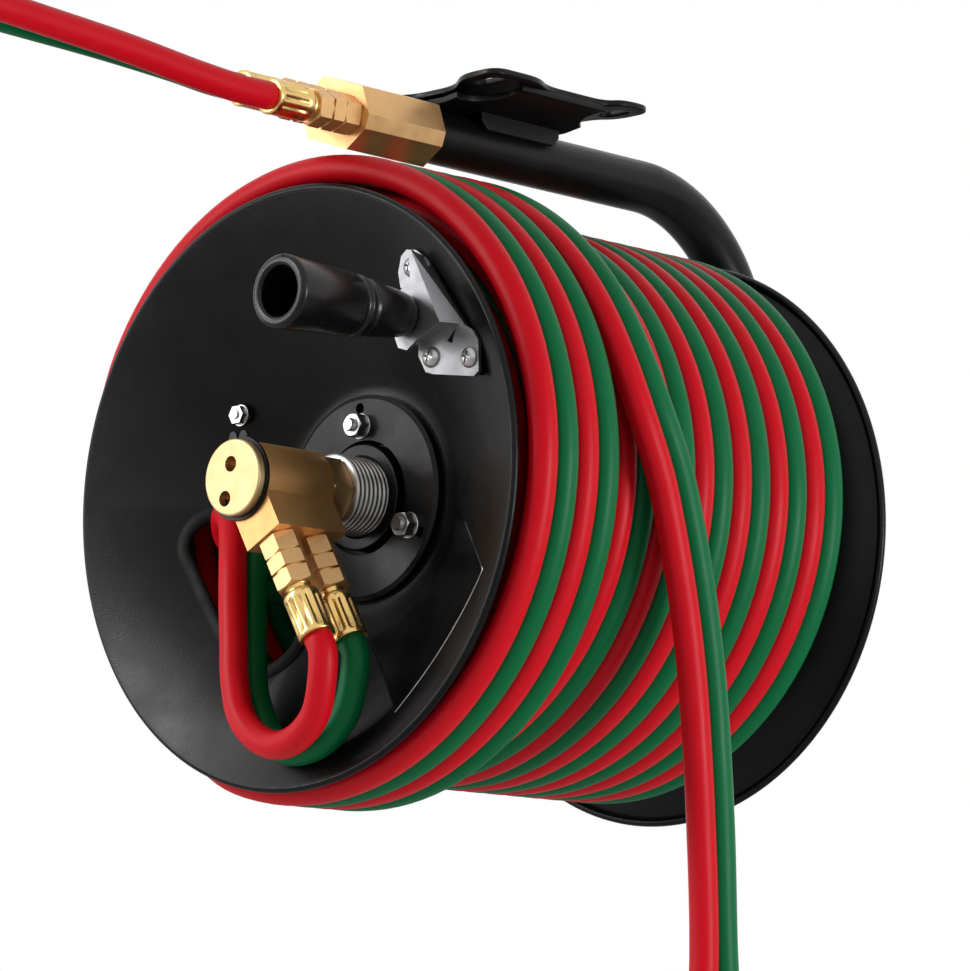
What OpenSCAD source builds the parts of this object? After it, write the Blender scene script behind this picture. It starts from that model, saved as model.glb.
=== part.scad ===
// Twin welding hose reel for a ceiling or a wall.
// A mounting plate holds a bent arm tube, the arm holds a fixed axle, and a reel of two dished
// discs turns on the axle. Gas comes in at the brass block, runs through the arm and the axle
// to a brass swivel, and goes on through two jumper hoses to the pair of hoses on the drum.
// Millimetres, +Z up. Origin: centre of the mounting plate's top face. The reel turns about Y,
// and its crank side faces -Y.

/* [Hoses] */
// Outer diameter of each hose
hose_d = 12.8; // [12:0.1:13.2]
// Gap between two hoses that lie side by side
hose_gap = 0.2; // [0.1:0.1:0.5]
// Extra room between two layers of hose
layer_gap = 0.6; // [0.5:0.1:1.5]

/* [Reel] */
// Outer diameter of the two discs
disc_d = 270; // [268:1:290]
// Distance between the rims' outer faces
reel_w = 254; // [252:1:262]
// Thickness of the discs' sheet
sheet_t = 1.5; // [1:0.1:2]
// Diameter of the rolled hem at a disc's rim
hem_d = 4; // [3.5:0.1:5]
// Depth of a disc's dished centre behind its rim
dish_depth = 50; // [44:1:54]
// Diameter of a disc's flat centre
flat_d = 104; // [102:1:108]
// Diameter of the drum barrel
drum_d = 100; // [98:1:101]
// Wall of the drum barrel
drum_wall = 2; // [1:0.5:3]

/* [Winding] */
// Height of a disc's rim above the middle of the hoses in the full layer
rim_cover = 10; // [9:0.5:11]
// Height of the winding's centre above the reel's axis
winding_off = 5; // [3:0.5:6]
// Place of the first hose of the full layer, behind the front rim
full_layer_y = 17.5; // [17:0.5:19]
// Least room between the full layer's last hose and the back rim
layer_end_gap = 30.6; // [30:0.1:34]
// Place of the first hose of the raised turns, behind the front rim
raised_y = 14; // [12:0.5:16]

/* [Hose hole] */
// Length of the oval hole in the front disc
hole_l = 91; // [86:1:92]
// Width of the oval hole in the front disc
hole_w = 34; // [32:1:36]
// Distance of the oval hole's centre from the reel's axis
hole_out = 73.3; // [72:0.1:75]
// Turn of the oval hole about the reel's axis
hole_turn = 212.4; // [205:0.1:220]
// Thickness of the rubber edging round the oval hole
edging_t = 5; // [4:0.5:6]
// Depth of the hollow behind the oval hole, from the front rim
hollow_y = 78; // [70:1:90]

/* [Hub] */
// Diameter of a hub flange
flange_d = 93; // [90:1:96]
// Height of a flange's edge in front of the disc
flange_edge = 4; // [3.5:0.5:5]
// Diameter of the hole in a flange
flange_hole_d = 52; // [50:1:54]
// Diameter of the bolt circle in a flange
flange_bolt_circle = 65; // [64:1:68]
// Diameter of the flange bolts
flange_bolt_d = 6; // [5:0.5:8]
// Diameter of the collar round the axle
collar_d = 48; // [44:1:49]
// Height of the collar in front of the disc
collar_proud = 6; // [2:0.5:8]
// Diameter of the axle where the reel runs on it
axle_d = 34; // [33:0.5:35]
// Pitch of the axle's thread
thread_pitch = 2.7; // [2.5:0.1:3.2]
// Length of thread that shows in front of the disc's flat
thread_out = 24; // [20:1:26]
// Wall of the bushes
bush_wall = 3; // [2:0.5:3.5]
// Length of the bushes
bush_l = 18; // [14:1:22]
// Running clearance between axle and bush, on the radius
run_fit = 0.05; // [0.02:0.01:0.1]

/* [Arm] */
// Outer diameter of the arm tube
arm_d = 25; // [24:0.5:26]
// Wall of the arm tube
arm_wall = 2; // [1.5:0.5:2.5]
// Distance from the raised turns up to the middle of the arm tube
arm_clear = 23; // [22:0.5:26]
// Bend radius of the arm tube, to its centreline
arm_bend_r = 79; // [76:1:82]
// Distance from the axle's back end to the start of the arm's bends
arm_lead = 18; // [16:1:22]
// Outer diameter of the gas lines inside the arm
line_d = 8; // [6:0.5:8.5]
// Distance between the two gas lines
line_spacing = 10; // [9:0.5:10.5]

/* [Mounting plate] */
// Size of the plate across the arm
plate_w = 105; // [100:1:112]
// Size of the plate along the arm
plate_l = 108; // [104:1:114]
// Thickness of the plate
plate_t = 3; // [2:0.5:4]
// Gap between the arm tube and the plate
plate_gap = 6.7; // [6:0.1:8]
// Width of a corner ear, across the arm
ear_w = 22; // [20:1:24]
// Depth of the recess in the plate's front edge
front_recess = 14; // [10:1:16]
// Depth of the recesses in the plate's other edges
side_recess = 8; // [6:0.5:9]
// Distance between the slots' centres across the arm
slot_spacing_x = 76; // [72:1:78]
// Distance between the slots' centres along the arm
slot_spacing_y = 86; // [82:1:88]
// Width of a slot
slot_w = 8; // [6:0.5:9]
// Length of a slot
slot_l = 16; // [12:1:18]
// Length of the saddle along the arm
saddle_l = 84; // [80:1:90]
// Distance from the saddle's front edge to the plate's centre
saddle_front = 48; // [44:1:52]
// Gap between the inlet block and the saddle
saddle_gap = 6; // [4:1:10]

/* [Inlet block] */
// Width of the inlet block, along the line of its inlets
block_w = 43; // [40:1:46]
// Thickness of the inlet block, across the line of its inlets
block_h = 29.2; // [28.6:0.2:32]
// Length of the inlet block
block_l = 50; // [46:1:52]
// Place of the inlet block's front face, behind the front rim
block_y = 28; // [26:1:32]
// Side step of the two inlets from the block's middle
inlet_x = 9; // [8.5:0.1:10]
// Depth that the arm tube reaches into the block
block_socket = 15; // [12:1:18]

/* [Hose fittings] */
// Width across the flats of the adapters and hose nuts
nut_af = 16; // [15.6:0.1:16.6]
// Length of an adapter's hexagon
adapter_l = 9.5; // [8:0.5:12]
// Length of a hose nut
nut_l = 16; // [14:0.5:18]
// Length of the neck between nut and ferrule
neck_l = 3; // [3:0.5:5]
// Diameter of a crimped ferrule
ferrule_d = 16.4; // [16:0.1:17]
// Length of a crimped ferrule
ferrule_l = 22; // [20:1:25]

/* [Swivel] */
// Diameter of the swivel's body
swivel_d = 34; // [32:0.5:35]
// Length of the swivel's body
swivel_l = 41.4; // [40:0.1:44]
// Diameter of the swivel's bore
swivel_bore_d = 23; // [22:0.5:24]
// Width across the flats of the swivel stem
stem_af = 28; // [26:0.5:29]
// Length of the stem's hexagon
stem_hex_l = 14; // [12:0.5:16]
// Distance from the axis to the face that carries the outlets
outlet_out = 31; // [30:0.5:33]
// Width of the face that carries the outlets
outlet_w = 22; // [20:0.5:24]
// Distance between the two outlets
outlet_spacing = 20.3; // [20:0.1:21]
// Distance from the swivel body's front to the first outlet
outlet_front = 9.4; // [9:0.1:10]
// Lean of the outlets from straight down
outlet_lean = 28.5; // [25:0.5:30]

/* [Crank] */
// Distance of the grip's axis from the reel's axis
crank_r = 98.5; // [96:0.5:100]
// Angle of the grip's axis above the +X side
crank_turn = 42.4; // [40:0.1:45]
// Distance from the front rim back to the face of the crank's seat
seat_y = 6.8; // [6.8:0.2:8]
// Thickness of the crank bracket's sheet
bracket_t = 1.8; // [1.5:0.1:2.5]
// Height of the bracket's raised plate above its ears
bracket_rise = 6.8; // [6:0.2:8]
// Diameter of the grip's outer end
grip_d = 32; // [30:0.5:34]
// Diameter of the grip's neck
grip_neck_d = 17; // [16:0.5:18]
// Length of the grip
grip_l = 77.2; // [76:0.2:80]
// Diameter of the hollow in the grip's outer end
grip_hollow_d = 21.4; // [20:0.2:23]
// Diameter of the spindle that the grip turns on
spindle_d = 10; // [8:0.5:11]

/* [Hidden] */
$fn = 64;

// Clearances
slip = 0.1;
air = 0.3;
over = 1;

// Hoses and their layers
hose_r = hose_d / 2;
hose_pitch = hose_d + hose_gap;
layer_rise = hose_d + layer_gap;
ring_sides = 6;
ring_step = 15;
cord_sides = 8;

// Discs: the outer face runs straight from the rim down to the flat centre
disc_r = disc_d / 2;
cone_r = disc_r - 3;
flat_r = flat_d / 2;
dish_slope = dish_depth / (cone_r - flat_r);
wall_y = sheet_t * sqrt(1 + dish_slope * dish_slope);
flat_y = dish_depth;
function cone_y(r) = (cone_r - r) * dish_slope;

// Winding: the full layer takes as many half turns as fit between the discs
steps_in_turn = 360 / ring_step;
first_steps = 10;
full_layer_room = reel_w - full_layer_y - layer_end_gap;
full_layer_steps = first_steps + steps_in_turn / 2
  * floor((full_layer_room / (2 * hose_pitch) * steps_in_turn - first_steps) * 2 / steps_in_turn);
wind_r = disc_r - rim_cover;
raised_r = wind_r + layer_rise;
first_angle = 210;
start_dip = 45;
start_shift = 8;
start_shift_span = 30;
start_angle = first_angle + full_layer_steps * ring_step;
climb_span = 60;
slot_span = 255;
cross_span = 45;
last_span = 315;
full_span = full_layer_steps * ring_step;

// Core: a plain body for the inner layers of hose
core_r = wind_r * cos(ring_step / 2) - hose_r - air;
core_gap = 0.5;
core_edge = 11;
pocket_r = wind_r - layer_rise - hose_r - over;
pocket_lead = 0.6;
pocket_span = start_dip + 6;
disc_bolt_pocket = [7, 10];
screw_pocket_r = 6;
screw_pocket_y = 44;

// Edging of the oval hole
edging_lip = 2;
edging_in_r = 30;

// Hub, from the disc's flat inwards
flange_boss = 6;
flange_inner = 3;
flange_rim_w = 2;
flange_chamfer = 1;
plate_in = 3;
end_plate_y = flat_y + flange_boss;
hub_bore_r = axle_d / 2 + bush_wall + run_fit;
hub_wall = 6;
hub_r = hub_bore_r + hub_wall;
hub_l = 28;
barrel_lip = 2;
spigot_room = 4.6;
flange_spigot_r = drum_d / 2 - drum_wall - barrel_lip - spigot_room;
collar_spigot = 7.5;
collar_bore_fit = 0.4;
bush_in = 10;
bush_y = end_plate_y + bush_in;
bush_press = 0.02;
thread_d = axle_d + 1.6;
thread_y = flat_y - thread_out;
thread_in = 12;
thread_end = flat_y + thread_in;
thread_depth = 1.2;
ring_groove_y = end_plate_y + collar_spigot + air;
ring_groove_w = 1.6;
axle_end_chamfer = 2;
axle_bore_r = arm_d / 2 + slip;
arm_in_axle = 46;
thrust_r = 24;
thrust_t = 4.5;
thrust_gap = 1.5;
axle_end = reel_w - flat_y + collar_proud + thrust_gap + thrust_t + axle_end_chamfer;

// Bolts
flange_bolt_angles = [92, 212, 332];
bolt_af = 10;
bolt_nut_l = 5.5;
stud_out = 2.5;
stud_in = 1.5;
washer_t = 1;
washer_r = 6;
bolt_seat_y = flat_y - flange_inner;
nut_thick = 5;
keyhole_out = 8.1;
keyhole_r = 2.5;
disc_bolt_at = [-63, 42.7];
disc_bolt_y = cone_y(norm(disc_bolt_at));
disc_bolt_r = 2;
disc_bolt_af = 8;
disc_bolt_washer = [5, 0.6];
disc_bolt_head_l = 3;
disc_bolt_under = 3;
disc_bolt_nut = 4.6;
disc_bolt_ends = [7.5, 8.5];

// Arm and its mounting, in the reel's frame
block_back = block_y + block_l;
plate_y = block_back + saddle_gap + saddle_front;
reel_forward = plate_y;
arm_r = arm_d / 2;
arm_rise = winding_off + raised_r + hose_r + arm_clear;
drop = arm_rise + arm_r + plate_gap + plate_t;
plate_z = drop - plate_t;
arm_bend_y = axle_end + arm_lead;
plate_corner_r = 8;
ear_slope = 8.5;
front_slope = 17;
side_ears = [30, 20];
side_slopes = [13.4, 5];
saddle_y = plate_y - saddle_front;
saddle_t = 3;
saddle_bite = 0.3;
saddle_low = arm_rise + arm_r - saddle_bite;
saddle_strip = 14;
wing_tip = [43, 46];
saddle_under = [[wing_tip[1], plate_z - saddle_t], [wing_tip[0], plate_z - saddle_t],
  [saddle_strip, saddle_low]];
saddle_over = [[wing_tip[1], plate_z], [wing_tip[0], plate_z],
  [saddle_strip, saddle_low + saddle_t]];
foot_step = 25;
foot_y = saddle_y + foot_step;
foot_l = 53;
foot_lift = 4.5;
foot_low = arm_rise + foot_lift;
foot_corner = 4;
bolt_room_r = 16;

// Inlet block: an octagon turned along the line of its two inlets
inlet_low_z = arm_rise - 2.3;
inlet_high_z = arm_rise + 4.2;
block_turn = atan2(inlet_low_z - inlet_high_z, 2 * inlet_x);
block_z = arm_rise + 0.5;
block_flat = [13, 3.5];
line_y = block_back - block_socket;
line_socket = 8;

// Hose fittings: local +Z runs away from the hose, 0 is the mouth where the hose goes in
stem_r = 5.3;
thread_r = 6.6;
gas_r = 2.2;
nut_z = ferrule_l + neck_l;
nut_back = 3;
nut_groove = [7.4, 1.2, 0.3];
adapter_z = nut_z + nut_l;
port_z = adapter_z + adapter_l;
port_thread_r = 6.4;
port_depth = 9;
inlet_nut_turn = 10;
ferrule_band = 3;
ferrule_flutes = 12;
flute_r = 0.9;

// Swivel
swivel_back = thread_y - stem_hex_l - air;
swivel_front = swivel_back - swivel_l;
swivel_r = swivel_d / 2;
bore_r = swivel_bore_d / 2;
cap_t = 3.6;
cap_holes = [[-0.7, 6], [-4.2, -9]];
cap_hole_r = 3.5;
snap_t = 1.4;
snap_proud = 1.7;
snap_ear = [3.2, 1.5, 2.4];
outlet_red_y = swivel_front + outlet_front;
outlet_green_y = outlet_red_y + outlet_spacing;
outlet_dir = [sin(outlet_lean), 0, -cos(outlet_lean)];
stem_spigot_l = 18;
seal_inset = 5;
seal_y = [swivel_front + seal_inset, (outlet_red_y + outlet_green_y) / 2, swivel_back - seal_inset];
seal_w = 2.6;
seal_depth = 2.6;
seal_ring = [1.25, 1.15];

// Crank
crank_at = [crank_r * cos(crank_turn), 0, crank_r * sin(crank_turn)];
ear_y = seat_y - bracket_t;
raised_plate_y = ear_y - bracket_rise;
grip_back = raised_plate_y - air;
grip_front = grip_back - grip_l;
grip_hollow_l = 58;
spindle_r = spindle_d / 2;
spindle_head = [3, 8];
spindle_in = 4;
screw_r = 2.4;
screw_head_r = 4.6;
screw_head_l = 2.6;
screw_end = 8;
screw_slot = [5.2, 1.6, 1];
screw_places = [[70.3, 89.3], [81.8, 48.1], [104.2, 45.3]];
low_ear = [[82.4, 40.7], [106.8, 36.9], [109.5, 38.9], [109.2, 52.2], [105.8, 57.1], [99.7, 60.6],
  [91.5, 62.1], [83.4, 62.3], [78.2, 58.8], [74.1, 54], [74.1, 49.5], [78.3, 42.1]];
low_ear_notch = [[96.2, 59.1], [90.9, 54.2], [94, 52.7]];
top_ear = [[63.2, 81], [61.8, 88], [63.5, 95], [66.7, 97.5], [72.5, 96.5], [78.5, 92], [80.5, 89.5],
  [81, 84], [70, 79]];
raised_outline = [[66.3, 57.9], [68.4, 53], [73.6, 51.3], [79.7, 55.4], [87.9, 59.2], [93, 61.3],
  [75.9, 95.1], [74.3, 94.5], [75.5, 81.8], [70.4, 78.7], [64.5, 74], [63.3, 65]];
low_web = [[79.7, 55.4], [93, 61.3], [92.2, 63.1], [78.9, 57.2]];
side_wall_top = [[75.9, 95.1], [93, 61.3]];
side_wall_foot = [[77.2, 92.9], [99.7, 60.6]];
seat_outline = [[64.5, 60], [67, 56], [73, 54.5], [75.3, 53.5], [75.3, 50], [79, 43.4], [83, 42],
  [106, 38.3], [108.2, 40], [108, 51.5], [105, 56.2], [99.5, 61.5], [80, 90], [73.5, 95.2],
  [67.5, 96.2], [64.7, 94], [63.2, 88.2], [64.5, 82]];
// Grip profile: (depth below the outer radius, distance from the front end)
grip_profile = [[1.5, 0], [0, 1.5], [2.2, 40], [3.4, 41.5], [3.4, 43.5], [2.4, 45], [3.6, 46.5],
  [3.6, 48.5], [3, 50]];
grip_neck = [1.5, 4];

// Centres of the hoses that lead in, from the middle of the two inlets' hose mouths: they run
// forward from the block and hang down at the end
lead_y = block_y - port_z;
lead_red_points = [for (p = [[9, -17.5, -2.3], [8, -41.5, -0.3], [7, -82.5, 4.2], [6.5, -122.5, 7.2],
  [6.5, -157.5, 9.2], [6.5, -192.5, 9.7], [6.5, -227.5, 5.2], [6.5, -260.5, -8.8],
  [6.5, -285.5, -32.8], [6.5, -299.5, -62.8], [7, -305.5, -96.8], [9.5, -305.5, -124.8],
  [11, -305.5, -152.8], [11, -305.5, -172.8]]) p + [0, lead_y, arm_rise]];
lead_green_points = [for (p = [[-9, -17.5, 4.2], [-8, -41.5, 5.7], [-7.5, -82.5, 7.7],
  [-7, -122.5, 8.7], [-6.5, -157.5, 9.2], [-6.5, -192.5, 8.7], [-6.5, -227.5, 4.2],
  [-6.5, -260.5, -9.8], [-6.5, -285.5, -33.8], [-6.5, -299.5, -63.8], [-7, -305.5, -96.8],
  [-9.5, -305.5, -124.8], [-11, -305.5, -152.8], [-11, -305.5, -172.8]]) p + [0, lead_y, arm_rise]];
lead_red_start = [inlet_x, lead_y, inlet_low_z];
lead_green_start = [-inlet_x, lead_y, inlet_high_z];

// Centres of the hoses that hang off the winding: an arc over the top, then straight down
tail_r = raised_r + winding_off - slip;
tail_from = 200;
tail_step = 10;
tail_shift = [[0, 83.7], [10, 74.3], [20, 69.3], [30, 67.4], [40, 67], [200, 67]];
tail_fall = [[-20, 90.2, 0], [-55, 99, 0], [-92, 105, 0], [-150, 109.5, 0], [-205, 111, 0],
  [-235, 111, 2], [-262, 111, 4], [-278, 111, 4.2], [-290, 111, 4.2]];

// Centres of the jumper hoses, from the swivel into the hollow behind the oval hole
jumper_end = 8;
jumper_red_points = [[40.9, -19.5, -89.9], [35, -17.5, -104.4], [22.5, -15.5, -113.3],
  [6, -12.5, -115.7], [-10, -10, -110], [-20.8, -8, -99.8], [-27.3, -5.5, -83.5],
  [-30.5, -3, -67.2], [-34.4, 0, -50.6], [-38.7, 4, -33.7], [-43.4, 8.5, -21.1],
  [-50.7, 14.5, -9.7], [-60.8, 21, -4.5], [-69.5, 28.5, -6], [-76, 37, -12], [-77, 49, -18],
  [-77.5, 56, -21], [-77.5, hollow_y - jumper_end, -23], [-77.5, hollow_y - air, -23]];
jumper_green_points = [[40.4, 0.5, -88.3], [34.8, 0.8, -103], [20.2, 1, -114.6], [3, 0.7, -117.2],
  [-12, 3, -111], [-22.8, 6.5, -99], [-29.8, 9, -87], [-33.7, 12, -68.8], [-36.5, 14.5, -50.4],
  [-39.3, 18, -32], [-43.5, 23, -19.5], [-51.5, 29, -12.5], [-60, 33, -15], [-66, 40, -22],
  [-67.5, 51, -29], [-67, 57, -33], [-67, hollow_y - jumper_end, -36],
  [-67, hollow_y - air, -36]];
jumper_straight = 6;

// Turns a local +Z onto a direction
module aim(d) rotate([0, acos(d[2] / norm(d)), atan2(d[1], d[0])]) children();

// The reel's own frame: axis Y, origin on the axis at the front rim
module on_reel() translate([0, -reel_forward, -drop]) children();

// A profile of (radius, y) points turned about the reel's axis
module turned(profile) rotate([-90, 0, 0]) rotate_extrude($fn = 128) polygon(profile);

module rod(r, y0, y1, sides = 64) translate([0, y0, 0]) rotate([-90, 0, 0])
  cylinder(r = r, h = y1 - y0, $fn = sides);

// A shape drawn in X and Z, as thick as from y0 to y1
module slab(y0, y1) translate([0, y1, 0]) rotate([90, 0, 0]) linear_extrude(y1 - y0) children();

// Mirrors what belongs to the front of the reel to its back
module at_back() translate([0, reel_w, 0]) mirror([0, 1, 0]) children();

module at_angle(a) rotate([0, -a, 0]) children();

module hexagon(af, h) cylinder(d = af / cos(30), h = h, $fn = 6);

function reversed(list) = [for (i = [len(list) - 1 : -1 : 0]) list[i]];

module rounded(w, l, r) {
  square([w, l - 2 * r], center = true);
  square([w - 2 * r, l], center = true);
  for (x = [-1, 1], y = [-1, 1]) translate([x * (w / 2 - r), y * (l / 2 - r)]) circle(r);
}

// Swept hoses
function unit(v) = v / norm(v);
function last(list) = list[len(list) - 1];
function tangents(p) = [for (i = [0 : len(p) - 1])
  unit(p[min(i + 1, len(p) - 1)] - p[max(i - 1, 0)])];
function across(n, t) = unit(n - (n * t) * t);
function carried(t, n, i = 0) = i == len(t) ? [] :
  let(m = across(n, t[i])) concat([m], carried(t, m, i + 1));

module hose(points, first_side, sides) {
  t = tangents(points);
  n = carried(t, first_side);
  count = len(points);
  verts = [for (i = [0 : count - 1], j = [0 : sides - 1])
    points[i] + hose_r * (cos(360 * j / sides) * n[i] + sin(360 * j / sides) * cross(t[i], n[i]))];
  walls = [for (i = [0 : count - 2], j = [0 : sides - 1])
    let(a = i * sides + j, b = i * sides + (j + 1) % sides)
    each [[a, a + sides, b + sides], [a, b + sides, b]]];
  start = [for (j = [1 : sides - 2]) [0, j, j + 1]];
  end_at = (count - 1) * sides;
  end = [for (j = [1 : sides - 2]) [end_at, end_at + j + 1, end_at + j]];
  polyhedron(verts, concat(walls, start, end));
}

// Winding: place of the hose after a turn of u degrees, clockwise as seen from the crank side
function ease(x) = (1 - cos(180 * min(max(x, 0), 1))) / 2;
function wind_radius(u) = wind_r - layer_rise * (1 - ease(u / start_dip))
  + layer_rise * ease((u - full_span) / climb_span);
function wind_y(u) = u <= full_span
  ? full_layer_y + (full_span - u) / 360 * 2 * hose_pitch
    - start_shift * (1 - ease(u / start_shift_span))
  : full_layer_y + (raised_y - full_layer_y) * ease((u - full_span) / climb_span)
    + 2 * hose_pitch * ease((u - full_span - climb_span - slot_span) / cross_span);
function on_circle(a, r, y) = [r * cos(a), y, r * sin(a)];
function wind_point(u, side) = on_circle(start_angle - u, wind_radius(u), wind_y(u) + side)
  + [0, 0, winding_off];
function winding(side) =
  [for (u = [0 : ring_step : full_span + climb_span + slot_span + cross_span + last_span])
    wind_point(u, side)];
least_steps = 12;
function least_gap(p, q, skip) = min([for (i = [0 : len(p) - 1], j = [0 : len(q) - 1])
  if (abs(i - j) >= skip) norm(p[i] - q[j])]) - hose_d;

module wound_hose(side) {
  path = winding(side);
  echo("least gap of a wound hose to itself", least_gap(path, path, least_steps));
  hose(path, [cos(start_angle), 0, sin(start_angle)], ring_sides);
}

// Hose fittings
module ferrule() difference() {
  union() {
    linear_extrude(ferrule_l - ferrule_band) difference() {
      circle(d = ferrule_d);
      for (i = [0 : ferrule_flutes - 1]) rotate(i * 360 / ferrule_flutes)
        translate([ferrule_d / 2 + flute_r / 2, 0]) circle(flute_r);
    }
    translate([0, 0, ferrule_l - ferrule_band]) cylinder(d = ferrule_d, h = ferrule_band);
    cylinder(r = stem_r, h = adapter_z - nut_back);
  }
  translate([0, 0, over]) cylinder(r = gas_r, h = port_z);
}

// The groove round the nut cuts its corners
module hose_nut() difference() {
  translate([0, 0, nut_z]) hexagon(nut_af, nut_l);
  translate([0, 0, nut_z - over]) cylinder(r = stem_r + slip, h = nut_l + 2 * over);
  translate([0, 0, nut_z + nut_back]) cylinder(r = thread_r + slip, h = nut_l);
  translate([0, 0, nut_z + nut_groove[0]]) difference() {
    cylinder(r = nut_af, h = nut_groove[1]);
    translate([0, 0, -over]) cylinder(r = nut_af / 2 - nut_groove[2], h = nut_groove[1] + 2 * over);
  }
}

module adapter() difference() {
  union() {
    translate([0, 0, nut_z + nut_back + air]) cylinder(r = thread_r, h = nut_l);
    translate([0, 0, adapter_z]) hexagon(nut_af, adapter_l);
    translate([0, 0, port_z - over]) cylinder(r = port_thread_r, h = port_depth);
  }
  translate([0, 0, nut_z]) cylinder(r = stem_r + slip, h = nut_l - nut_back + air);
  cylinder(r = gas_r, h = port_z + port_depth + over);
}

// Places a fitting so that its adapter's hexagon sits on a port
module on_port(port, out) translate(port + port_z * out) aim(-out) children();

module at_inlets() {
  for (p = [[inlet_x, block_y, inlet_low_z], [-inlet_x, block_y, inlet_high_z]])
    on_port(p, [0, -1, 0]) rotate(inlet_nut_turn) children();
}

module at_outlets() {
  for (y = [outlet_red_y, outlet_green_y])
    on_port(outlet_out * outlet_dir + [0, y, 0], outlet_dir) children();
}

module port_hole(port, out, depth) translate(port) aim(-out) {
  translate([0, 0, -over]) cylinder(r = port_thread_r + slip, h = port_depth + over);
  cylinder(r = gas_r, h = depth);
}

// Arm tube's route as a solid rod, for the tube, its bore and the gas lines
module arm_route(r, x, y0, y1) translate([x, 0, 0]) {
  translate([0, 0, arm_rise]) rod(r, y0, arm_bend_y);
  translate([0, arm_bend_y, arm_rise - arm_bend_r]) rotate([90, 0, 90])
    rotate_extrude(angle = 90) translate([arm_bend_r, 0]) circle(r);
  translate([0, arm_bend_y + arm_bend_r, arm_bend_r])
    cylinder(r = r, h = arm_rise - 2 * arm_bend_r);
  translate([0, arm_bend_y, arm_bend_r]) rotate([90, 0, 90]) rotate([0, 0, -90])
    rotate_extrude(angle = 90) translate([arm_bend_r, 0]) circle(r);
  rod(r, y1, arm_bend_y);
}

module mount_plate() color("#1c1d1f") on_reel() translate([0, plate_y, plate_z])
  linear_extrude(plate_t) difference() {
    rounded(plate_w, plate_l, plate_corner_r);
    translate([0, plate_l / 2])
      ear_notch([ear_w - plate_w / 2, plate_w / 2 - ear_w], [ear_slope, ear_slope], side_recess);
    translate([0, -plate_l / 2]) rotate(180)
      ear_notch([ear_w - plate_w / 2, plate_w / 2 - ear_w], [front_slope, front_slope], front_recess);
    for (s = [0, 1]) mirror([s, 0]) translate([plate_w / 2, 0]) rotate(-90)
      ear_notch([side_ears[1] - plate_l / 2, plate_l / 2 - side_ears[0]],
        [side_slopes[1], side_slopes[0]], side_recess);
    for (x = [-1, 1], y = [-1, 1])
      translate([x * slot_spacing_x / 2, y * slot_spacing_y / 2]) slot();
  }

// Notch between two ears: its mouth lies on the X axis between two ends, and it goes down to
// its depth over a slope at each end
module ear_notch(ends, slopes, depth) polygon([[ends[0], over], [ends[1], over], [ends[1], 0],
  [ends[1] - slopes[1], -depth], [ends[0] + slopes[0], -depth], [ends[0], 0]]);

module slot() {
  square([slot_l - slot_w, slot_w], center = true);
  for (s = [-1, 1]) translate([s * (slot_l - slot_w) / 2, 0]) circle(d = slot_w);
}

// Bent sheet: a strip over the arm, wings that rise to the plate, and a foot on each side
module saddle() color("#1c1d1f") on_reel() difference() {
  union() {
    slab(saddle_y, saddle_y + saddle_l) polygon(concat(
      [for (s = [-1, 1], p = s < 0 ? saddle_under : reversed(saddle_under)) [s * p[0], p[1]]],
      [for (s = [1, -1], p = s > 0 ? saddle_over : reversed(saddle_over)) [s * p[0], p[1]]]));
    for (s = [0, 1]) mirror([s, 0, 0]) translate([arm_r - saddle_bite, 0, 0])
      rotate([90, 0, 90]) linear_extrude(saddle_t) polygon([[foot_y, saddle_low + over],
        [foot_y, foot_low + foot_corner], [foot_y + foot_corner, foot_low],
        [foot_y + foot_l - foot_corner, foot_low], [foot_y + foot_l, foot_low + foot_corner],
        [foot_y + foot_l, saddle_low + over]]);
  }
  translate([0, 0, arm_rise]) rod(arm_r + slip, block_back, arm_bend_y);
  for (x = [-1, 1], y = [-1, 1])
    translate([x * slot_spacing_x / 2, plate_y + y * slot_spacing_y / 2, 0])
      cylinder(r = bolt_room_r, h = drop);
}

module arm_tube() color("#1c1d1f") on_reel() difference() {
  arm_route(arm_r, 0, line_y, axle_end - arm_in_axle);
  arm_route(arm_r - arm_wall, 0, line_y - over, axle_end - arm_in_axle - over);
}

module gas_line(side) on_reel() difference() {
  arm_route(line_d / 2, side * line_spacing / 2, line_y - line_socket,
    thread_y + stem_spigot_l + air);
  arm_route(gas_r, side * line_spacing / 2, line_y - line_socket - over, thread_y);
}

module gas_line_oxygen() color("#b87333") gas_line(-1);

module gas_line_fuel() color("#b87333") gas_line(1);

module axle() color("#b9bcc0") on_reel() difference() {
  turned(concat(
    [[axle_bore_r, thread_y]],
    [for (y = [thread_y : thread_pitch : thread_end - thread_pitch], k = [0, 1])
      k == 0 ? [thread_d / 2 - thread_depth, y] : [thread_d / 2, y + thread_pitch / 2]],
    [[axle_d / 2, thread_end], [axle_d / 2, ring_groove_y],
      [axle_d / 2 - over, ring_groove_y], [axle_d / 2 - over, ring_groove_y + ring_groove_w],
      [axle_d / 2, ring_groove_y + ring_groove_w],
      [axle_d / 2, axle_end - thrust_t - axle_end_chamfer],
      [thrust_r, axle_end - thrust_t - axle_end_chamfer], [thrust_r, axle_end - axle_end_chamfer],
      [axle_d / 2, axle_end], [axle_bore_r, axle_end]]));
}

module retaining_ring() color("#b9bcc0") on_reel()
  turned([[axle_d / 2 - over + slip, ring_groove_y + slip], [hub_bore_r - air, ring_groove_y + slip],
    [hub_bore_r - air, ring_groove_y + ring_groove_w - slip],
    [axle_d / 2 - over + slip, ring_groove_y + ring_groove_w - slip]]);

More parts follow.
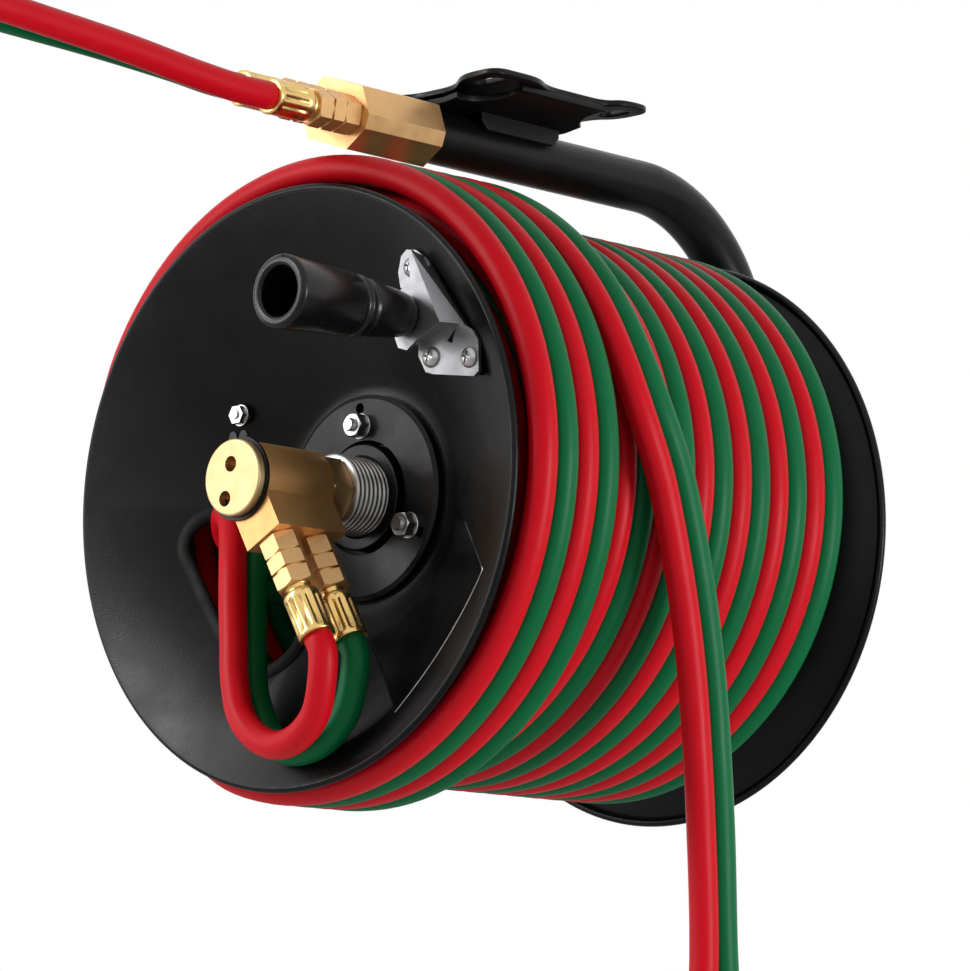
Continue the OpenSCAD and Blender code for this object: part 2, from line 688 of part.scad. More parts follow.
// Fixed stem: spigot in the axle, hexagon, and a journal inside the swivel's body
module swivel_stem() color("#c9a25e") on_reel() difference() {
  union() {
    rod(bore_r - run_fit, swivel_front + cap_t, thread_y - stem_hex_l);
    translate([0, thread_y - stem_hex_l, 0]) rotate([-90, 0, 0]) hexagon(stem_af, stem_hex_l);
    rod(axle_bore_r - slip, thread_y - over, thread_y + stem_spigot_l);
  }
  for (y = seal_y) turned([[bore_r - seal_depth, y - seal_w / 2], [bore_r + over, y - seal_w / 2],
    [bore_r + over, y + seal_w / 2], [bore_r - seal_depth, y + seal_w / 2]]);
  for (s = [[-1, outlet_green_y], [1, outlet_red_y]]) {
    translate([s[0] * line_spacing / 2, 0, 0]) rod(gas_r, s[1], thread_y + stem_spigot_l + over);
    translate([0, s[1], 0]) aim(outlet_dir) cylinder(r = gas_r, h = swivel_d);
  }
}

module swivel_o_rings() color("#151515") on_reel() for (y = seal_y)
  translate([0, y, 0]) rotate([-90, 0, 0]) rotate_extrude()
    translate([bore_r - seal_depth + seal_ring[0], 0]) circle(seal_ring[1]);

module swivel_body() color("#c9a25e") on_reel() difference() {
  union() {
    rod(swivel_r, swivel_front, swivel_back);
    slab(swivel_front, swivel_back) rotate(outlet_lean)
      translate([-outlet_w / 2, -outlet_out]) square([outlet_w, outlet_out]);
  }
  rod(bore_r, swivel_front - over, swivel_back + over);
  for (y = [outlet_red_y, outlet_green_y])
    port_hole(outlet_out * outlet_dir + [0, y, 0], outlet_dir, outlet_out);
}

module swivel_cap() color("#dcb97a") on_reel() difference() {
  union() {
    rod(swivel_r, swivel_front - snap_t - cap_t, swivel_front - snap_t);
    rod(bore_r - slip, swivel_front - snap_t - over, swivel_front + cap_t - air);
  }
  for (h = cap_holes) translate([h[0], 0, h[1]])
    rod(cap_hole_r, swivel_front - snap_t - cap_t - over, swivel_front + cap_t);
}

module snap_ring() color("#1a1a1a") on_reel() difference() {
  union() {
    rod(swivel_r + snap_proud, swivel_front - snap_t, swivel_front);
    for (s = [-1, 1]) translate([s * snap_ear[0], 0, swivel_r + snap_ear[1]])
      rod(snap_ear[2], swivel_front - snap_t, swivel_front);
  }
  rod(bore_r, swivel_front - snap_t - over, swivel_front + over);
  translate([-over / 2, swivel_front - snap_t - over, bore_r - over])
    cube([over, snap_t + 2 * over, swivel_r]);
}

module inlet_block() color("#c9a25e") on_reel() difference() {
  slab(block_y, block_back) translate([0, block_z]) rotate(block_turn) polygon([
    [block_flat[0], block_h / 2], [block_w / 2, block_flat[1]], [block_w / 2, -block_flat[1]],
    [block_flat[0], -block_h / 2], [-block_flat[0], -block_h / 2], [-block_w / 2, -block_flat[1]],
    [-block_w / 2, block_flat[1]], [-block_flat[0], block_h / 2]]);
  translate([0, 0, arm_rise]) rod(arm_r + slip, line_y - air, block_back + over);
  for (s = [-1, 1]) translate([s * line_spacing / 2, 0, arm_rise])
    rod(line_d / 2 + slip, line_y - line_socket, line_y);
  for (p = [[inlet_x, block_y, inlet_low_z], [-inlet_x, block_y, inlet_high_z]])
    port_hole(p, [0, -1, 0], block_l - block_socket - line_socket + over);
}

module inlet_adapters() color("#c9a25e") on_reel() at_inlets() adapter();

module inlet_nuts() color("#c9a25e") on_reel() at_inlets() hose_nut();

module inlet_ferrules() color("#dcb97a") on_reel() at_inlets() ferrule();

module lead_hose_red() color("#c8102e") on_reel()
  hose(concat([lead_red_start], lead_red_points), [1, 0, 0], cord_sides);

module lead_hose_green() color("#0b6b3a") on_reel()
  hose(concat([lead_green_start], lead_green_points), [1, 0, 0], cord_sides);

module at_end(point) on_reel() translate(point) aim([0, 0, -1]) children();

module lead_ferrule_red() color("#dcb97a") at_end(last(lead_red_points)) ferrule();

module lead_ferrule_green() color("#dcb97a") at_end(last(lead_green_points)) ferrule();

module lead_nut_red() color("#c9a25e") at_end(last(lead_red_points)) hose_nut();

module lead_nut_green() color("#c9a25e") at_end(last(lead_green_points)) hose_nut();

// Middle of the red hose, or of the green one that lies beside it
tail_line = concat(
  [for (a = [tail_from : -tail_step : 0]) on_circle(a, tail_r, lookup(a, tail_shift))],
  [for (p = tail_fall) [tail_r, p[1], p[0]]]);
tail_spread = concat([for (a = [tail_from : -tail_step : 0]) 0], [for (p = tail_fall) p[2]]);
function tail_path(green) = let(t = tangents(tail_line))
  [for (i = [0 : len(t) - 1]) tail_line[i]
    + (green ? hose_pitch + tail_spread[i] : -tail_spread[i]) * across([0, 1, 0], t[i])];

module tail_hose_red() color("#c8102e") on_reel()
  hose(tail_path(false), [0, 1, 0], cord_sides);

module tail_hose_green() color("#0b6b3a") on_reel()
  hose(tail_path(true), [0, 1, 0], cord_sides);

module tail_ferrule_red() color("#dcb97a") at_end(last(tail_path(false))) ferrule();

module tail_ferrule_green() color("#dcb97a")
  at_end(last(tail_path(true))) ferrule();

module tail_nut_red() color("#c9a25e") at_end(last(tail_path(false))) hose_nut();

module tail_nut_green() color("#c9a25e") at_end(last(tail_path(true))) hose_nut();

// Oval shape of the hose hole, grown by a margin
module oval(margin) rotate(hole_turn) translate([hole_out, 0]) rotate(90) {
  square([hole_l - hole_w, hole_w + 2 * margin], center = true);
  for (s = [-1, 1]) translate([s * (hole_l - hole_w) / 2, 0]) circle(hole_w / 2 + margin);
}

// Sheet of a disc: rolled hem, cone and flat centre
module disc_sheet() {
  hole_r = flange_spigot_r + slip;
  turned([[hole_r, flat_y], [flat_r, flat_y], [cone_r, 0], [cone_r, wall_y],
    [flat_r, flat_y + wall_y], [hole_r, flat_y + wall_y]]);
  rotate([-90, 0, 0]) rotate_extrude($fn = 128)
    translate([disc_r - hem_d / 2, hem_d / 2]) circle(d = hem_d);
}

module front_disc() color("#1c1d1f") on_reel() difference() {
  disc_sheet();
  slab(-over, hollow_y) oval(0);
  translate([disc_bolt_at[0], 0, disc_bolt_at[1]]) rod(disc_bolt_r + slip, -over, hollow_y);
  for (s = screw_places) translate([s[0], 0, s[1]]) rod(screw_r + slip, -over, hollow_y);
}

module back_disc() color("#1c1d1f") on_reel() at_back() disc_sheet();

module drum_barrel() color("#2a2b2d") on_reel() {
  y0 = flat_y + wall_y;
  difference() {
    rod(drum_d / 2, y0, reel_w - y0);
    rod(drum_d / 2 - drum_wall, end_plate_y + plate_in, reel_w - end_plate_y - plate_in);
    for (back = [false, true]) side(back) {
      rod(drum_d / 2 - drum_wall - barrel_lip, y0 - over, end_plate_y);
      rod(hub_bore_r, y0 - over, end_plate_y + hub_l + over);
      bolt_holes(end_plate_y - over, end_plate_y + plate_in + over);
    }
  }
  for (back = [false, true]) side(back) difference() {
    rod(hub_r, end_plate_y + plate_in, end_plate_y + hub_l);
    rod(hub_bore_r, end_plate_y, end_plate_y + hub_l + over);
  }
}

// Front side as it stands, back side mirrored
module side(back) {
  if (back) at_back() children();
  else children();
}

module at_bolts() for (a = flange_bolt_angles) at_angle(a)
  translate([flange_bolt_circle / 2, 0, 0]) children();

module bolt_holes(y0, y1) at_bolts() rod(flange_bolt_d / 2 + slip, y0, y1);

module flange() difference() {
  turned([[flange_hole_d / 2, flat_y - flange_inner], [flange_d / 2 - flange_rim_w, flat_y - flange_edge],
    [flange_d / 2, flat_y - flange_edge + flange_chamfer], [flange_d / 2, flat_y],
    [flange_spigot_r, flat_y], [flange_spigot_r, end_plate_y], [flange_hole_d / 2, end_plate_y]]);
  bolt_holes(-over, end_plate_y + over);
  at_bolts() rod(washer_r + slip, -over, bolt_seat_y);
  at_bolts() translate([keyhole_out, 0, 0]) rod(keyhole_r, -over, flat_y - over);
}

module front_flange() color("#1c1d1f") on_reel() flange();

module back_flange() color("#1c1d1f") on_reel() at_back() flange();

// Studs, each with a washer and a nut in front of the flange
module flange_bolts() color("#c4c7cb") on_reel() for (back = [false, true]) side(back) at_bolts() {
  translate([0, bolt_seat_y - washer_t - bolt_nut_l, 0]) rotate([-90, 0, 0])
    hexagon(bolt_af, bolt_nut_l);
  rod(washer_r, bolt_seat_y - washer_t, bolt_seat_y);
  rod(flange_bolt_d / 2, bolt_seat_y - washer_t - bolt_nut_l - stud_out,
    end_plate_y + plate_in + nut_thick + stud_in);
}

module flange_nuts() color("#c4c7cb") on_reel() for (back = [false, true]) side(back) at_bolts()
  translate([0, end_plate_y + plate_in, 0]) difference() {
    rotate([-90, 0, 0]) hexagon(bolt_af, nut_thick);
    rod(flange_bolt_d / 2 + slip / 2, -over, nut_thick + over);
  }

module collar() difference() {
  union() {
    rod(collar_d / 2, flat_y - collar_proud, end_plate_y);
    rod(hub_bore_r - slip / 2, end_plate_y - over, end_plate_y + collar_spigot);
  }
  rod(thread_d / 2 + collar_bore_fit, flat_y - collar_proud - over,
    end_plate_y + collar_spigot + over);
}

module front_collar() color("#232426") on_reel() collar();

module back_collar() color("#232426") on_reel() at_back() collar();

module bush() difference() {
  rod(hub_bore_r - bush_press, bush_y, bush_y + bush_l);
  rod(axle_d / 2 + run_fit, bush_y - over, bush_y + bush_l + over);
}

module front_bush() color("#a97142") on_reel() bush();

module back_bush() color("#a97142") on_reel() at_back() bush();

// Rubber edging on the oval hole: a lip on each side of the sheet and a strip in the hole
module hole_edging() color("#101010") on_reel() difference() {
  intersection() {
    slab(-over, hollow_y) difference() {
      oval(edging_t / 2);
      oval(-edging_t / 2);
    }
    sheet_band(edging_lip);
  }
  difference() {
    sheet_band(slip);
    slab(-over, hollow_y) oval(-slip);
  }
}

// The disc's sheet with some thickness more on both sides
module sheet_band(more) turned([[edging_in_r, flat_y - more], [flat_r, flat_y - more],
  [cone_r, -more], [cone_r, wall_y + more], [flat_r, flat_y + wall_y + more],
  [edging_in_r, flat_y + wall_y + more]]);

module disc_bolt() color("#c4c7cb") on_reel()
  translate([disc_bolt_at[0], disc_bolt_y, disc_bolt_at[1]]) {
    rod(disc_bolt_r, -disc_bolt_ends[0], disc_bolt_ends[1]);
    translate([0, -disc_bolt_under - disc_bolt_washer[1] - disc_bolt_head_l, 0])
      rotate([-90, 0, 0]) hexagon(disc_bolt_af, disc_bolt_head_l + slip);
    rod(disc_bolt_washer[0], -disc_bolt_under - disc_bolt_washer[1], -disc_bolt_under);
    translate([0, disc_bolt_nut, 0]) rotate([-90, 0, 0]) hexagon(disc_bolt_af, disc_bolt_head_l);
  }

// Inner layers of the hose as one plain body, with the hollow behind the oval hole and the
// notch where the outer layer comes out of it
module hose_core() color("#3a3a3a") on_reel() {
  r_in = drum_d / 2 + air;
  front_in = wall_y + core_gap;
  difference() {
    intersection() {
      translate([0, 0, winding_off]) rod(core_r, core_edge, reel_w - core_edge);
      turned([[r_in, flat_y + front_in], [flat_r, flat_y + front_in],
        [disc_r, cone_y(disc_r) + front_in],
        [disc_r, reel_w - cone_y(disc_r) - front_in], [flat_r, reel_w - flat_y - front_in],
        [r_in, reel_w - flat_y - front_in]]);
    }
    slab(-over, hollow_y) oval(edging_t / 2 + 2 * air);
    translate([0, 0, winding_off]) rotate([-90, 0, 0]) rotate([0, 0, -start_angle - pocket_lead])
      translate([0, 0, wind_y(0) - hose_r - over]) rotate_extrude(angle = pocket_span)
        translate([pocket_r, 0]) square([2 * hose_d, hose_pitch + hose_d + start_shift + 2 * over]);
    translate([disc_bolt_at[0], 0, disc_bolt_at[1]])
      rod(disc_bolt_pocket[0], -over, disc_bolt_y + disc_bolt_pocket[1]);
    for (s = screw_places) translate([s[0], 0, s[1]]) rod(screw_pocket_r, -over, screw_pocket_y);
  }
}

module winding_red() color("#c8102e") on_reel() wound_hose(0);

module winding_green() color("#0b6b3a") on_reel() wound_hose(hose_pitch);

// Crank: a raised seat on the disc, a folded bracket, three screws, a spindle and a grip
module at_screws() for (s = screw_places) translate([s[0], 0, s[1]]) children();

module crank_seat() color("#1c1d1f") on_reel() difference() {
  slab(seat_y, flat_y) polygon(seat_outline);
  turned([[0, flat_y], [flat_r, flat_y - slip], [cone_r, -slip], [disc_r, -slip],
    [disc_r, flat_y + over], [0, flat_y + over]]);
  at_screws() rod(screw_r + slip, -over, flat_y + over);
  translate(crank_at) rod(spindle_r + slip, -over, flat_y + over);
}

// Side wall of the bracket, from the raised plate's edge out to the ears
module side_wall() {
  step = [-bracket_t, 0, 0];
  front = [for (p = side_wall_top) [p[0], raised_plate_y, p[1]]];
  foot = [for (p = side_wall_foot) [p[0], seat_y, p[1]]];
  corners = [front[0], front[1], foot[1], foot[0]];
  polyhedron(concat(corners, [for (c = corners) c + step]),
    [[0, 2, 1], [0, 3, 2], [4, 5, 6], [4, 6, 7], [0, 5, 4], [0, 1, 5], [1, 6, 5], [1, 2, 6],
      [2, 7, 6], [2, 3, 7], [3, 4, 7], [3, 0, 4]]);
}

module crank_bracket() color("#c4c7cb") on_reel() difference() {
  union() {
    slab(ear_y, seat_y) {
      difference() {
        polygon(low_ear);
        polygon(low_ear_notch);
      }
      polygon(top_ear);
    }
    slab(raised_plate_y, raised_plate_y + bracket_t) polygon(raised_outline);
    slab(raised_plate_y, seat_y) polygon(low_web);
    side_wall();
  }
  at_screws() rod(screw_r + slip, -over, flat_y);
  translate(crank_at) rod(spindle_r + slip, raised_plate_y - over, flat_y);
}

module crank_screws() color("#c4c7cb") on_reel() for (s = screw_places)
  translate([s[0], 0, s[1]]) difference() {
    union() {
      rod(screw_head_r, ear_y - screw_head_l, ear_y);
      rod(screw_r, ear_y - over, cone_y(norm(s)) + screw_end);
    }
    for (a = [0, 90]) at_angle(a)
      translate([-screw_slot[0] / 2, ear_y - screw_head_l - over, -screw_slot[2] / 2])
        cube([screw_slot[0], screw_slot[1] + over, screw_slot[2]]);
  }

module grip_spindle() color("#b9bcc0") on_reel() translate(crank_at) {
  rod(spindle_r, grip_front + grip_hollow_l - spindle_in, cone_y(crank_r + spindle_r) - air);
  rod(grip_hollow_d / 2 - spindle_head[0], grip_front + grip_hollow_l - spindle_head[1],
    grip_front + grip_hollow_l - air);
}

module crank_grip() color("#141414") on_reel() translate(crank_at) difference() {
  turned(concat([[0, grip_front]], [for (p = grip_profile) [grip_d / 2 - p[0], grip_front + p[1]]],
    [[grip_neck_d / 2 + grip_neck[0], grip_back - grip_neck[1]], [grip_neck_d / 2, grip_back],
      [0, grip_back]]));
  rod(grip_hollow_d / 2, grip_front - over, grip_front + grip_hollow_l);
  rod(spindle_r + run_fit, grip_front, grip_back + over);
}

module outlet_adapters() color("#c9a25e") on_reel() at_outlets() adapter();

module outlet_nuts() color("#c9a25e") on_reel() at_outlets() hose_nut();

module outlet_ferrules() color("#dcb97a") on_reel() at_outlets() ferrule();

// A jumper hose leaves its ferrule straight before it bends
function jumper(y, points) = concat(
  [for (s = [0, jumper_straight]) (outlet_out + port_z + s) * outlet_dir + [0, y, 0]], points);

module jumper_red() color("#c8102e") on_reel()
  hose(jumper(outlet_red_y, jumper_red_points), [0, 1, 0], cord_sides);

module jumper_green() color("#0b6b3a") on_reel()
  hose(jumper(outlet_green_y, jumper_green_points), [0, 1, 0], cord_sides);

mount_plate();
saddle();
arm_tube();
gas_line_oxygen();
gas_line_fuel();
axle();
retaining_ring();
swivel_stem();
swivel_o_rings();
inlet_block();
inlet_adapters();
inlet_nuts();
inlet_ferrules();
lead_hose_red();
lead_hose_green();
lead_ferrule_red();
lead_ferrule_green();
lead_nut_red();
lead_nut_green();
tail_hose_red();
tail_hose_green();
tail_ferrule_red();
tail_ferrule_green();
tail_nut_red();
tail_nut_green();
front_disc();
back_disc();
drum_barrel();
front_flange();
back_flange();
flange_bolts();
flange_nuts();
front_collar();
back_collar();
front_bush();
back_bush();
hole_edging();
disc_bolt();
hose_core();
winding_red();
winding_green();
crank_seat();
crank_bracket();
crank_screws();
grip_spindle();
crank_grip();
swivel_body();
swivel_cap();
snap_ring();
outlet_adapters();
outlet_nuts();
outlet_ferrules();
jumper_red();
jumper_green();
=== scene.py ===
import math
import bmesh
import bpy
from mathutils import Matrix, Vector


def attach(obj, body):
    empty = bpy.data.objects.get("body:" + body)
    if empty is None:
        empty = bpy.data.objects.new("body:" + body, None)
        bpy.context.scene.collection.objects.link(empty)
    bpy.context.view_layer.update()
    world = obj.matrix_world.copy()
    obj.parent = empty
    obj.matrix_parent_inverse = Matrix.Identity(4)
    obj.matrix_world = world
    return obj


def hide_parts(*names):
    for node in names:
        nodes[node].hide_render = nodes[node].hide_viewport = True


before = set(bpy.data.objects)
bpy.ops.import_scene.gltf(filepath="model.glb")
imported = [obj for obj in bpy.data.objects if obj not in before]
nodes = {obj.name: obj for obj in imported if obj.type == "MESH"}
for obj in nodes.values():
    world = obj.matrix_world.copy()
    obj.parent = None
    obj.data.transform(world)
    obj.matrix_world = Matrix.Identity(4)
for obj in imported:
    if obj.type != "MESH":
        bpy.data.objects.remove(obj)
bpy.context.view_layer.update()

# Where the reel's axis meets the front rim; the numbers of the pieces are millimetres from here
MM = 0.001
REEL_FRONT = Vector((0, -0.132, -0.195))
REEL_W = 254


def at(x, y, z):
    return REEL_FRONT + Vector((x, y, z)) * MM


# Camera
camera_data = bpy.data.cameras.new("camera")
camera_data.sensor_fit = "HORIZONTAL"
camera_data.sensor_width = 36
camera_data.lens = 172.45
camera = bpy.data.objects.new("camera", camera_data)
camera.location = (1.4358, -1.5546, -0.5052)
camera.rotation_euler = [math.radians(a) for a in (98.741, 0, 42.813)]
bpy.context.scene.collection.objects.link(camera)
bpy.context.scene.camera = camera
bpy.context.scene.view_settings.view_transform = "Standard"


# Finishes

class Finish:
    """A material and short calls for the nodes that shape it."""

    def __init__(self, name):
        self.material = bpy.data.materials.new(name)
        self.material.use_nodes = True
        self.nodes = self.material.node_tree.nodes
        self.links = self.material.node_tree.links
        self.shader = self.nodes["Principled BSDF"]
        self.height = None

    def put(self, socket, value):
        if isinstance(value, bpy.types.NodeSocket):
            self.links.new(value, socket)
        else:
            socket.default_value = value

    def node(self, kind, **inputs):
        made = self.nodes.new(kind)
        for key, value in inputs.items():
            self.put(made.inputs[key.replace("_", " ")], value)
        return made

    def place(self, stretch=(1, 1, 1), turn=(0, 0, 0), shift=(0, 0, 0), layer=None):
        """Coordinates of the piece in metres, or of its own layer."""
        source = self.nodes.new("ShaderNodeTexCoord")
        out = source.outputs["Object"]
        if layer:
            source = self.nodes.new("ShaderNodeUVMap")
            source.uv_map = layer
            out = source.outputs["UV"]
        mapping = self.node("ShaderNodeMapping", Vector=out, Scale=stretch, Rotation=turn, Location=shift)
        return mapping.outputs["Vector"]

    def noise(self, where, scale, detail=3.0, rough=0.5):
        made = self.node("ShaderNodeTexNoise", Vector=where, Scale=scale, Detail=detail, Roughness=rough)
        return made.outputs["Fac"]

    def spread(self, value, low, high, frm=0.3, to=0.7):
        made = self.nodes.new("ShaderNodeMapRange")
        for socket, number in zip(made.inputs, (value, frm, to, low, high)):
            self.put(socket, number)
        return made.outputs["Result"]

    def mix(self, share, first, second):
        made = self.nodes.new("ShaderNodeMix")
        made.data_type = "RGBA"
        self.put(made.inputs["Factor"], share)
        for socket, colour in ((made.inputs[6], first), (made.inputs[7], second)):
            self.put(socket, (*colour, 1) if isinstance(colour, tuple) else colour)
        return made.outputs[2]

    def raise_by(self, value, depth):
        """Adds a height in metres to the surface."""
        bump = self.node("ShaderNodeBump", Height=value, Distance=depth, Strength=1.0)
        if self.height:
            self.links.new(self.height, bump.inputs["Normal"])
        self.height = bump.outputs["Normal"]
        self.links.new(self.height, self.shader.inputs["Normal"])

    def set(self, **values):
        for key, value in values.items():
            if isinstance(value, tuple):
                value = (*value, 1)
            self.put(self.shader.inputs[key.replace("_", " ")], value)
        return self


def powder_coat(name, base, low=0.26, high=0.36):
    f = Finish(name)
    where = f.place()
    cloud = f.noise(where, 28, 4)
    peel = f.noise(where, 1500, 2)
    pale = tuple(c * 1.6 + 0.002 for c in base)
    f.set(Base_Color=f.mix(f.spread(cloud, 0, 0.5), base, pale), Specular_IOR_Level=0.17,
          Roughness=f.spread(f.noise(where, 60, 5), low, high))
    f.raise_by(peel, 0.00006)
    return f.material


def plated(name, base, dark, low, high, scale=70):
    f = Finish(name)
    where = f.place()
    cloud = f.noise(where, scale, 6, 0.6)
    lines = f.noise(f.place(stretch=(1, 12, 1)), 900, 2)
    f.set(Base_Color=f.mix(f.spread(cloud, 0, 0.8), base, dark), Metallic=1.0,
          Roughness=f.spread(f.noise(where, scale * 2, 4), low, high))
    f.raise_by(lines, 0.000006)
    return f.material


def turned_brass(name, base, dark, low, high, metal=1.0):
    f = Finish(name)
    where = f.place()
    cloud = f.noise(where, 60, 5, 0.6)
    lines = f.noise(f.place(stretch=(1, 25, 1)), 260, 3)
    f.set(Base_Color=f.mix(f.spread(cloud, 0, 0.6), base, dark), Metallic=metal,
          Roughness=f.spread(f.noise(where, 140, 4), low, high))
    f.raise_by(lines, 0.000008)
    return f.material


def hose_rubber(name, base, pale):
    """Smooth extruded cover: fine lines along the hose, faint scuffs across it."""
    f = Finish(name)
    along = f.place(layer="hose")
    lines = f.noise(f.place(stretch=(40, 4, 1), layer="hose"), 1, 3)
    scuff = f.noise(f.place(stretch=(3, 60, 1), layer="hose"), 1, 5, 0.65)
    f.set(Base_Color=f.mix(f.spread(scuff, 0, 0.25, 0.5, 0.8), base, pale), Specular_IOR_Level=0.17,
          Roughness=f.spread(f.noise(along, 30, 3), 0.38, 0.48))
    f.raise_by(lines, 0.00003)
    return f.material


def dull(name, base, low=0.5, high=0.68, grain=900, depth=0.00006, gloss=0.16):
    f = Finish(name)
    where = f.place()
    pale = tuple(c * 1.6 + 0.002 for c in base)
    f.set(Base_Color=f.mix(f.spread(f.noise(where, 60, 4), 0, 0.3), base, pale),
          Specular_IOR_Level=gloss, Roughness=f.spread(f.noise(where, 120, 4), low, high))
    f.raise_by(f.noise(where, grain, 3), depth)
    return f.material


BLACK = (0.0035, 0.0035, 0.0038)
RED = (0.7, 0.003, 0.013)
GREEN = (0.0, 0.15, 0.046)
finishes = {
    "black_steel": powder_coat("black powder coat", BLACK),
    "zinc_steel": plated("zinc plate", (0.5, 0.5, 0.51), (0.38, 0.38, 0.39), 0.26, 0.38),
    "brass": turned_brass("turned brass", (0.72, 0.44, 0.2), (0.6, 0.35, 0.14), 0.36, 0.46, 0.9),
    "brass_body": turned_brass("milled brass", (0.74, 0.4, 0.15), (0.64, 0.32, 0.11), 0.42, 0.5, 0.75),
    "brass_bright": turned_brass("bright brass", (0.8, 0.56, 0.21), (0.66, 0.42, 0.14), 0.2, 0.3),
    "brass_cap": turned_brass("faced brass", (0.56, 0.42, 0.22), (0.5, 0.36, 0.18), 0.42, 0.5),
    "bright_axle": plated("turned steel", (0.5, 0.49, 0.47), (0.34, 0.33, 0.31), 0.32, 0.42),
    "bracket_zinc": plated("brushed zinc", (0.31, 0.31, 0.32), (0.24, 0.24, 0.25), 0.38, 0.5, 40),
    "red_hose": hose_rubber("red hose cover", RED, (0.72, 0.03, 0.04)),
    "green_hose": hose_rubber("green hose cover", GREEN, (0.02, 0.19, 0.08)),
    "black_rubber": dull("black rubber", (0.008, 0.008, 0.008)),
    "black_plastic": dull("moulded black plastic", (0.004, 0.004, 0.004), 0.24, 0.3, 1400, 0.00002, 0.3),
    "bronze": plated("sintered bronze", (0.42, 0.25, 0.12), (0.3, 0.17, 0.08), 0.4, 0.55),
    "copper": plated("drawn copper", (0.6, 0.32, 0.18), (0.45, 0.2, 0.1), 0.25, 0.4),
    "label_film": dull("bare label film", (0.004, 0.004, 0.0045), 0.2, 0.26, 600, 0.00001),
}

# Solids that stay as they are, all of them inside the others
NODE_SLOTS = {
    "zinc_steel": ["retaining_ring", "flange_nuts"],
    "black_rubber": ["swivel_o_rings"],
    "bronze": ["front_bush", "back_bush"],
    "copper": ["gas_line_oxygen", "gas_line_fuel"],
}
for slot_name, names in NODE_SLOTS.items():
    for name in names:
        data = nodes[name].data
        data.materials.clear()
        data.materials.append(finishes[slot_name])


def keep(obj, body, slot_name, *stands_for):
    """Gives a new piece its finish and its body, and hides the nodes that it stands for."""
    if not obj.users_collection:
        bpy.context.scene.collection.objects.link(obj)
    if not obj.data.materials:
        obj.data.materials.append(finishes[slot_name])
    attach(obj, body)
    if stands_for:
        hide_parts(*stands_for)
    return obj


# Shapes: points closer than these become one, in local millimetres and in metres
WELD = 0.0005
CUT_WELD = 1e-7
SOLID_WELD = 2e-6


def stand(origin, way, roll=0.0):
    """From local millimetres, +Z along a direction, to the part's frame."""
    way = Vector(way).normalized()
    turn = (Matrix.Rotation(math.atan2(way.y, way.x), 4, "Z") @ Matrix.Rotation(math.acos(way.z), 4, "Y")
            @ Matrix.Rotation(math.radians(roll), 4, "Z"))
    return Matrix.Translation(at(*origin)) @ turn @ Matrix.Scale(MM, 4)


def along_axis(x=0.0, y=0.0, z=0.0, roll=0.0):
    """Local +Z runs back along the reel's axis, local +X stays +X."""
    return (Matrix.Translation(at(x, y, z)) @ Matrix.Rotation(math.radians(-90), 4, "X")
            @ Matrix.Rotation(math.radians(roll), 4, "Z") @ Matrix.Scale(MM, 4))


def from_back(x=0.0, y=0.0, z=0.0):
    """The same for what faces back: local +Z runs forward from the back rim, local +Y up."""
    return (Matrix.Translation(at(x, REEL_W - y, z)) @ Matrix.Rotation(math.radians(90), 4, "X")
            @ Matrix.Scale(MM, 4))


def soften(points, radius, closed=False, cuts=4):
    """The same outline with its corners rounded."""
    out = []
    for i, point in enumerate(points):
        corner = Vector(point)
        if not closed and i in (0, len(points) - 1):
            out.append(corner)
            continue
        ends = []
        for other in (Vector(points[i - 1]), Vector(points[(i + 1) % len(points)])):
            way = other - corner
            ends.append(corner + way.normalized() * min(radius, way.length * 0.48))
        for k in range(cuts + 1):
            t = k / cuts
            out.append(ends[0] * (1 - t) ** 2 + corner * 2 * t * (1 - t) + ends[1] * t ** 2)
    return out


def spun(bm, profile, matrix, steps=64, closed=False, shape=None):
    """Spins (radius, height) points about local Z; shape may move each point afterwards."""
    made = [bm.verts.new((p[0], 0, p[1])) for p in profile]
    edges = [bm.edges.new(pair) for pair in zip(made, made[1:])]
    if closed:
        edges.append(bm.edges.new((made[-1], made[0])))
    before = set(bm.verts) - set(made)
    bmesh.ops.spin(bm, geom=made + edges, cent=(0, 0, 0), axis=(0, 0, 1), steps=steps,
                   angle=2 * math.pi, use_merge=True)
    fresh = [v for v in bm.verts if v not in before]
    bmesh.ops.remove_doubles(bm, verts=fresh, dist=WELD)
    fresh = [v for v in bm.verts if v not in before]
    if shape:
        for v in fresh:
            v.co = shape(v.co)
    faces = {f for v in fresh for f in v.link_faces}
    bmesh.ops.recalc_face_normals(bm, faces=list(faces))
    bmesh.ops.transform(bm, matrix=matrix, verts=fresh)


def prism(bm, outline, low, high, matrix):
    """A flat outline drawn up from one height to another."""
    floor_face = bm.faces.new([bm.verts.new((p[0], p[1], low)) for p in outline])
    grown = bmesh.ops.extrude_face_region(bm, geom=[floor_face])["geom"]
    top = [v for v in grown if isinstance(v, bmesh.types.BMVert)]
    bmesh.ops.translate(bm, verts=top, vec=(0, 0, high - low))
    verts = list(floor_face.verts) + top
    bmesh.ops.recalc_face_normals(bm, faces=list({f for v in verts for f in v.link_faces}))
    bmesh.ops.transform(bm, matrix=matrix, verts=verts)


def hexagonal(flats):
    """Shape for spun(): trims a turned profile to a hexagon."""
    def shape(co):
        r = math.hypot(co.x, co.y)
        off = math.degrees(math.atan2(co.y, co.x)) % 60 - 30
        limit = flats / 2 / math.cos(math.radians(off))
        return co if r <= limit else Vector((co.x * limit / r, co.y * limit / r, co.z))
    return shape


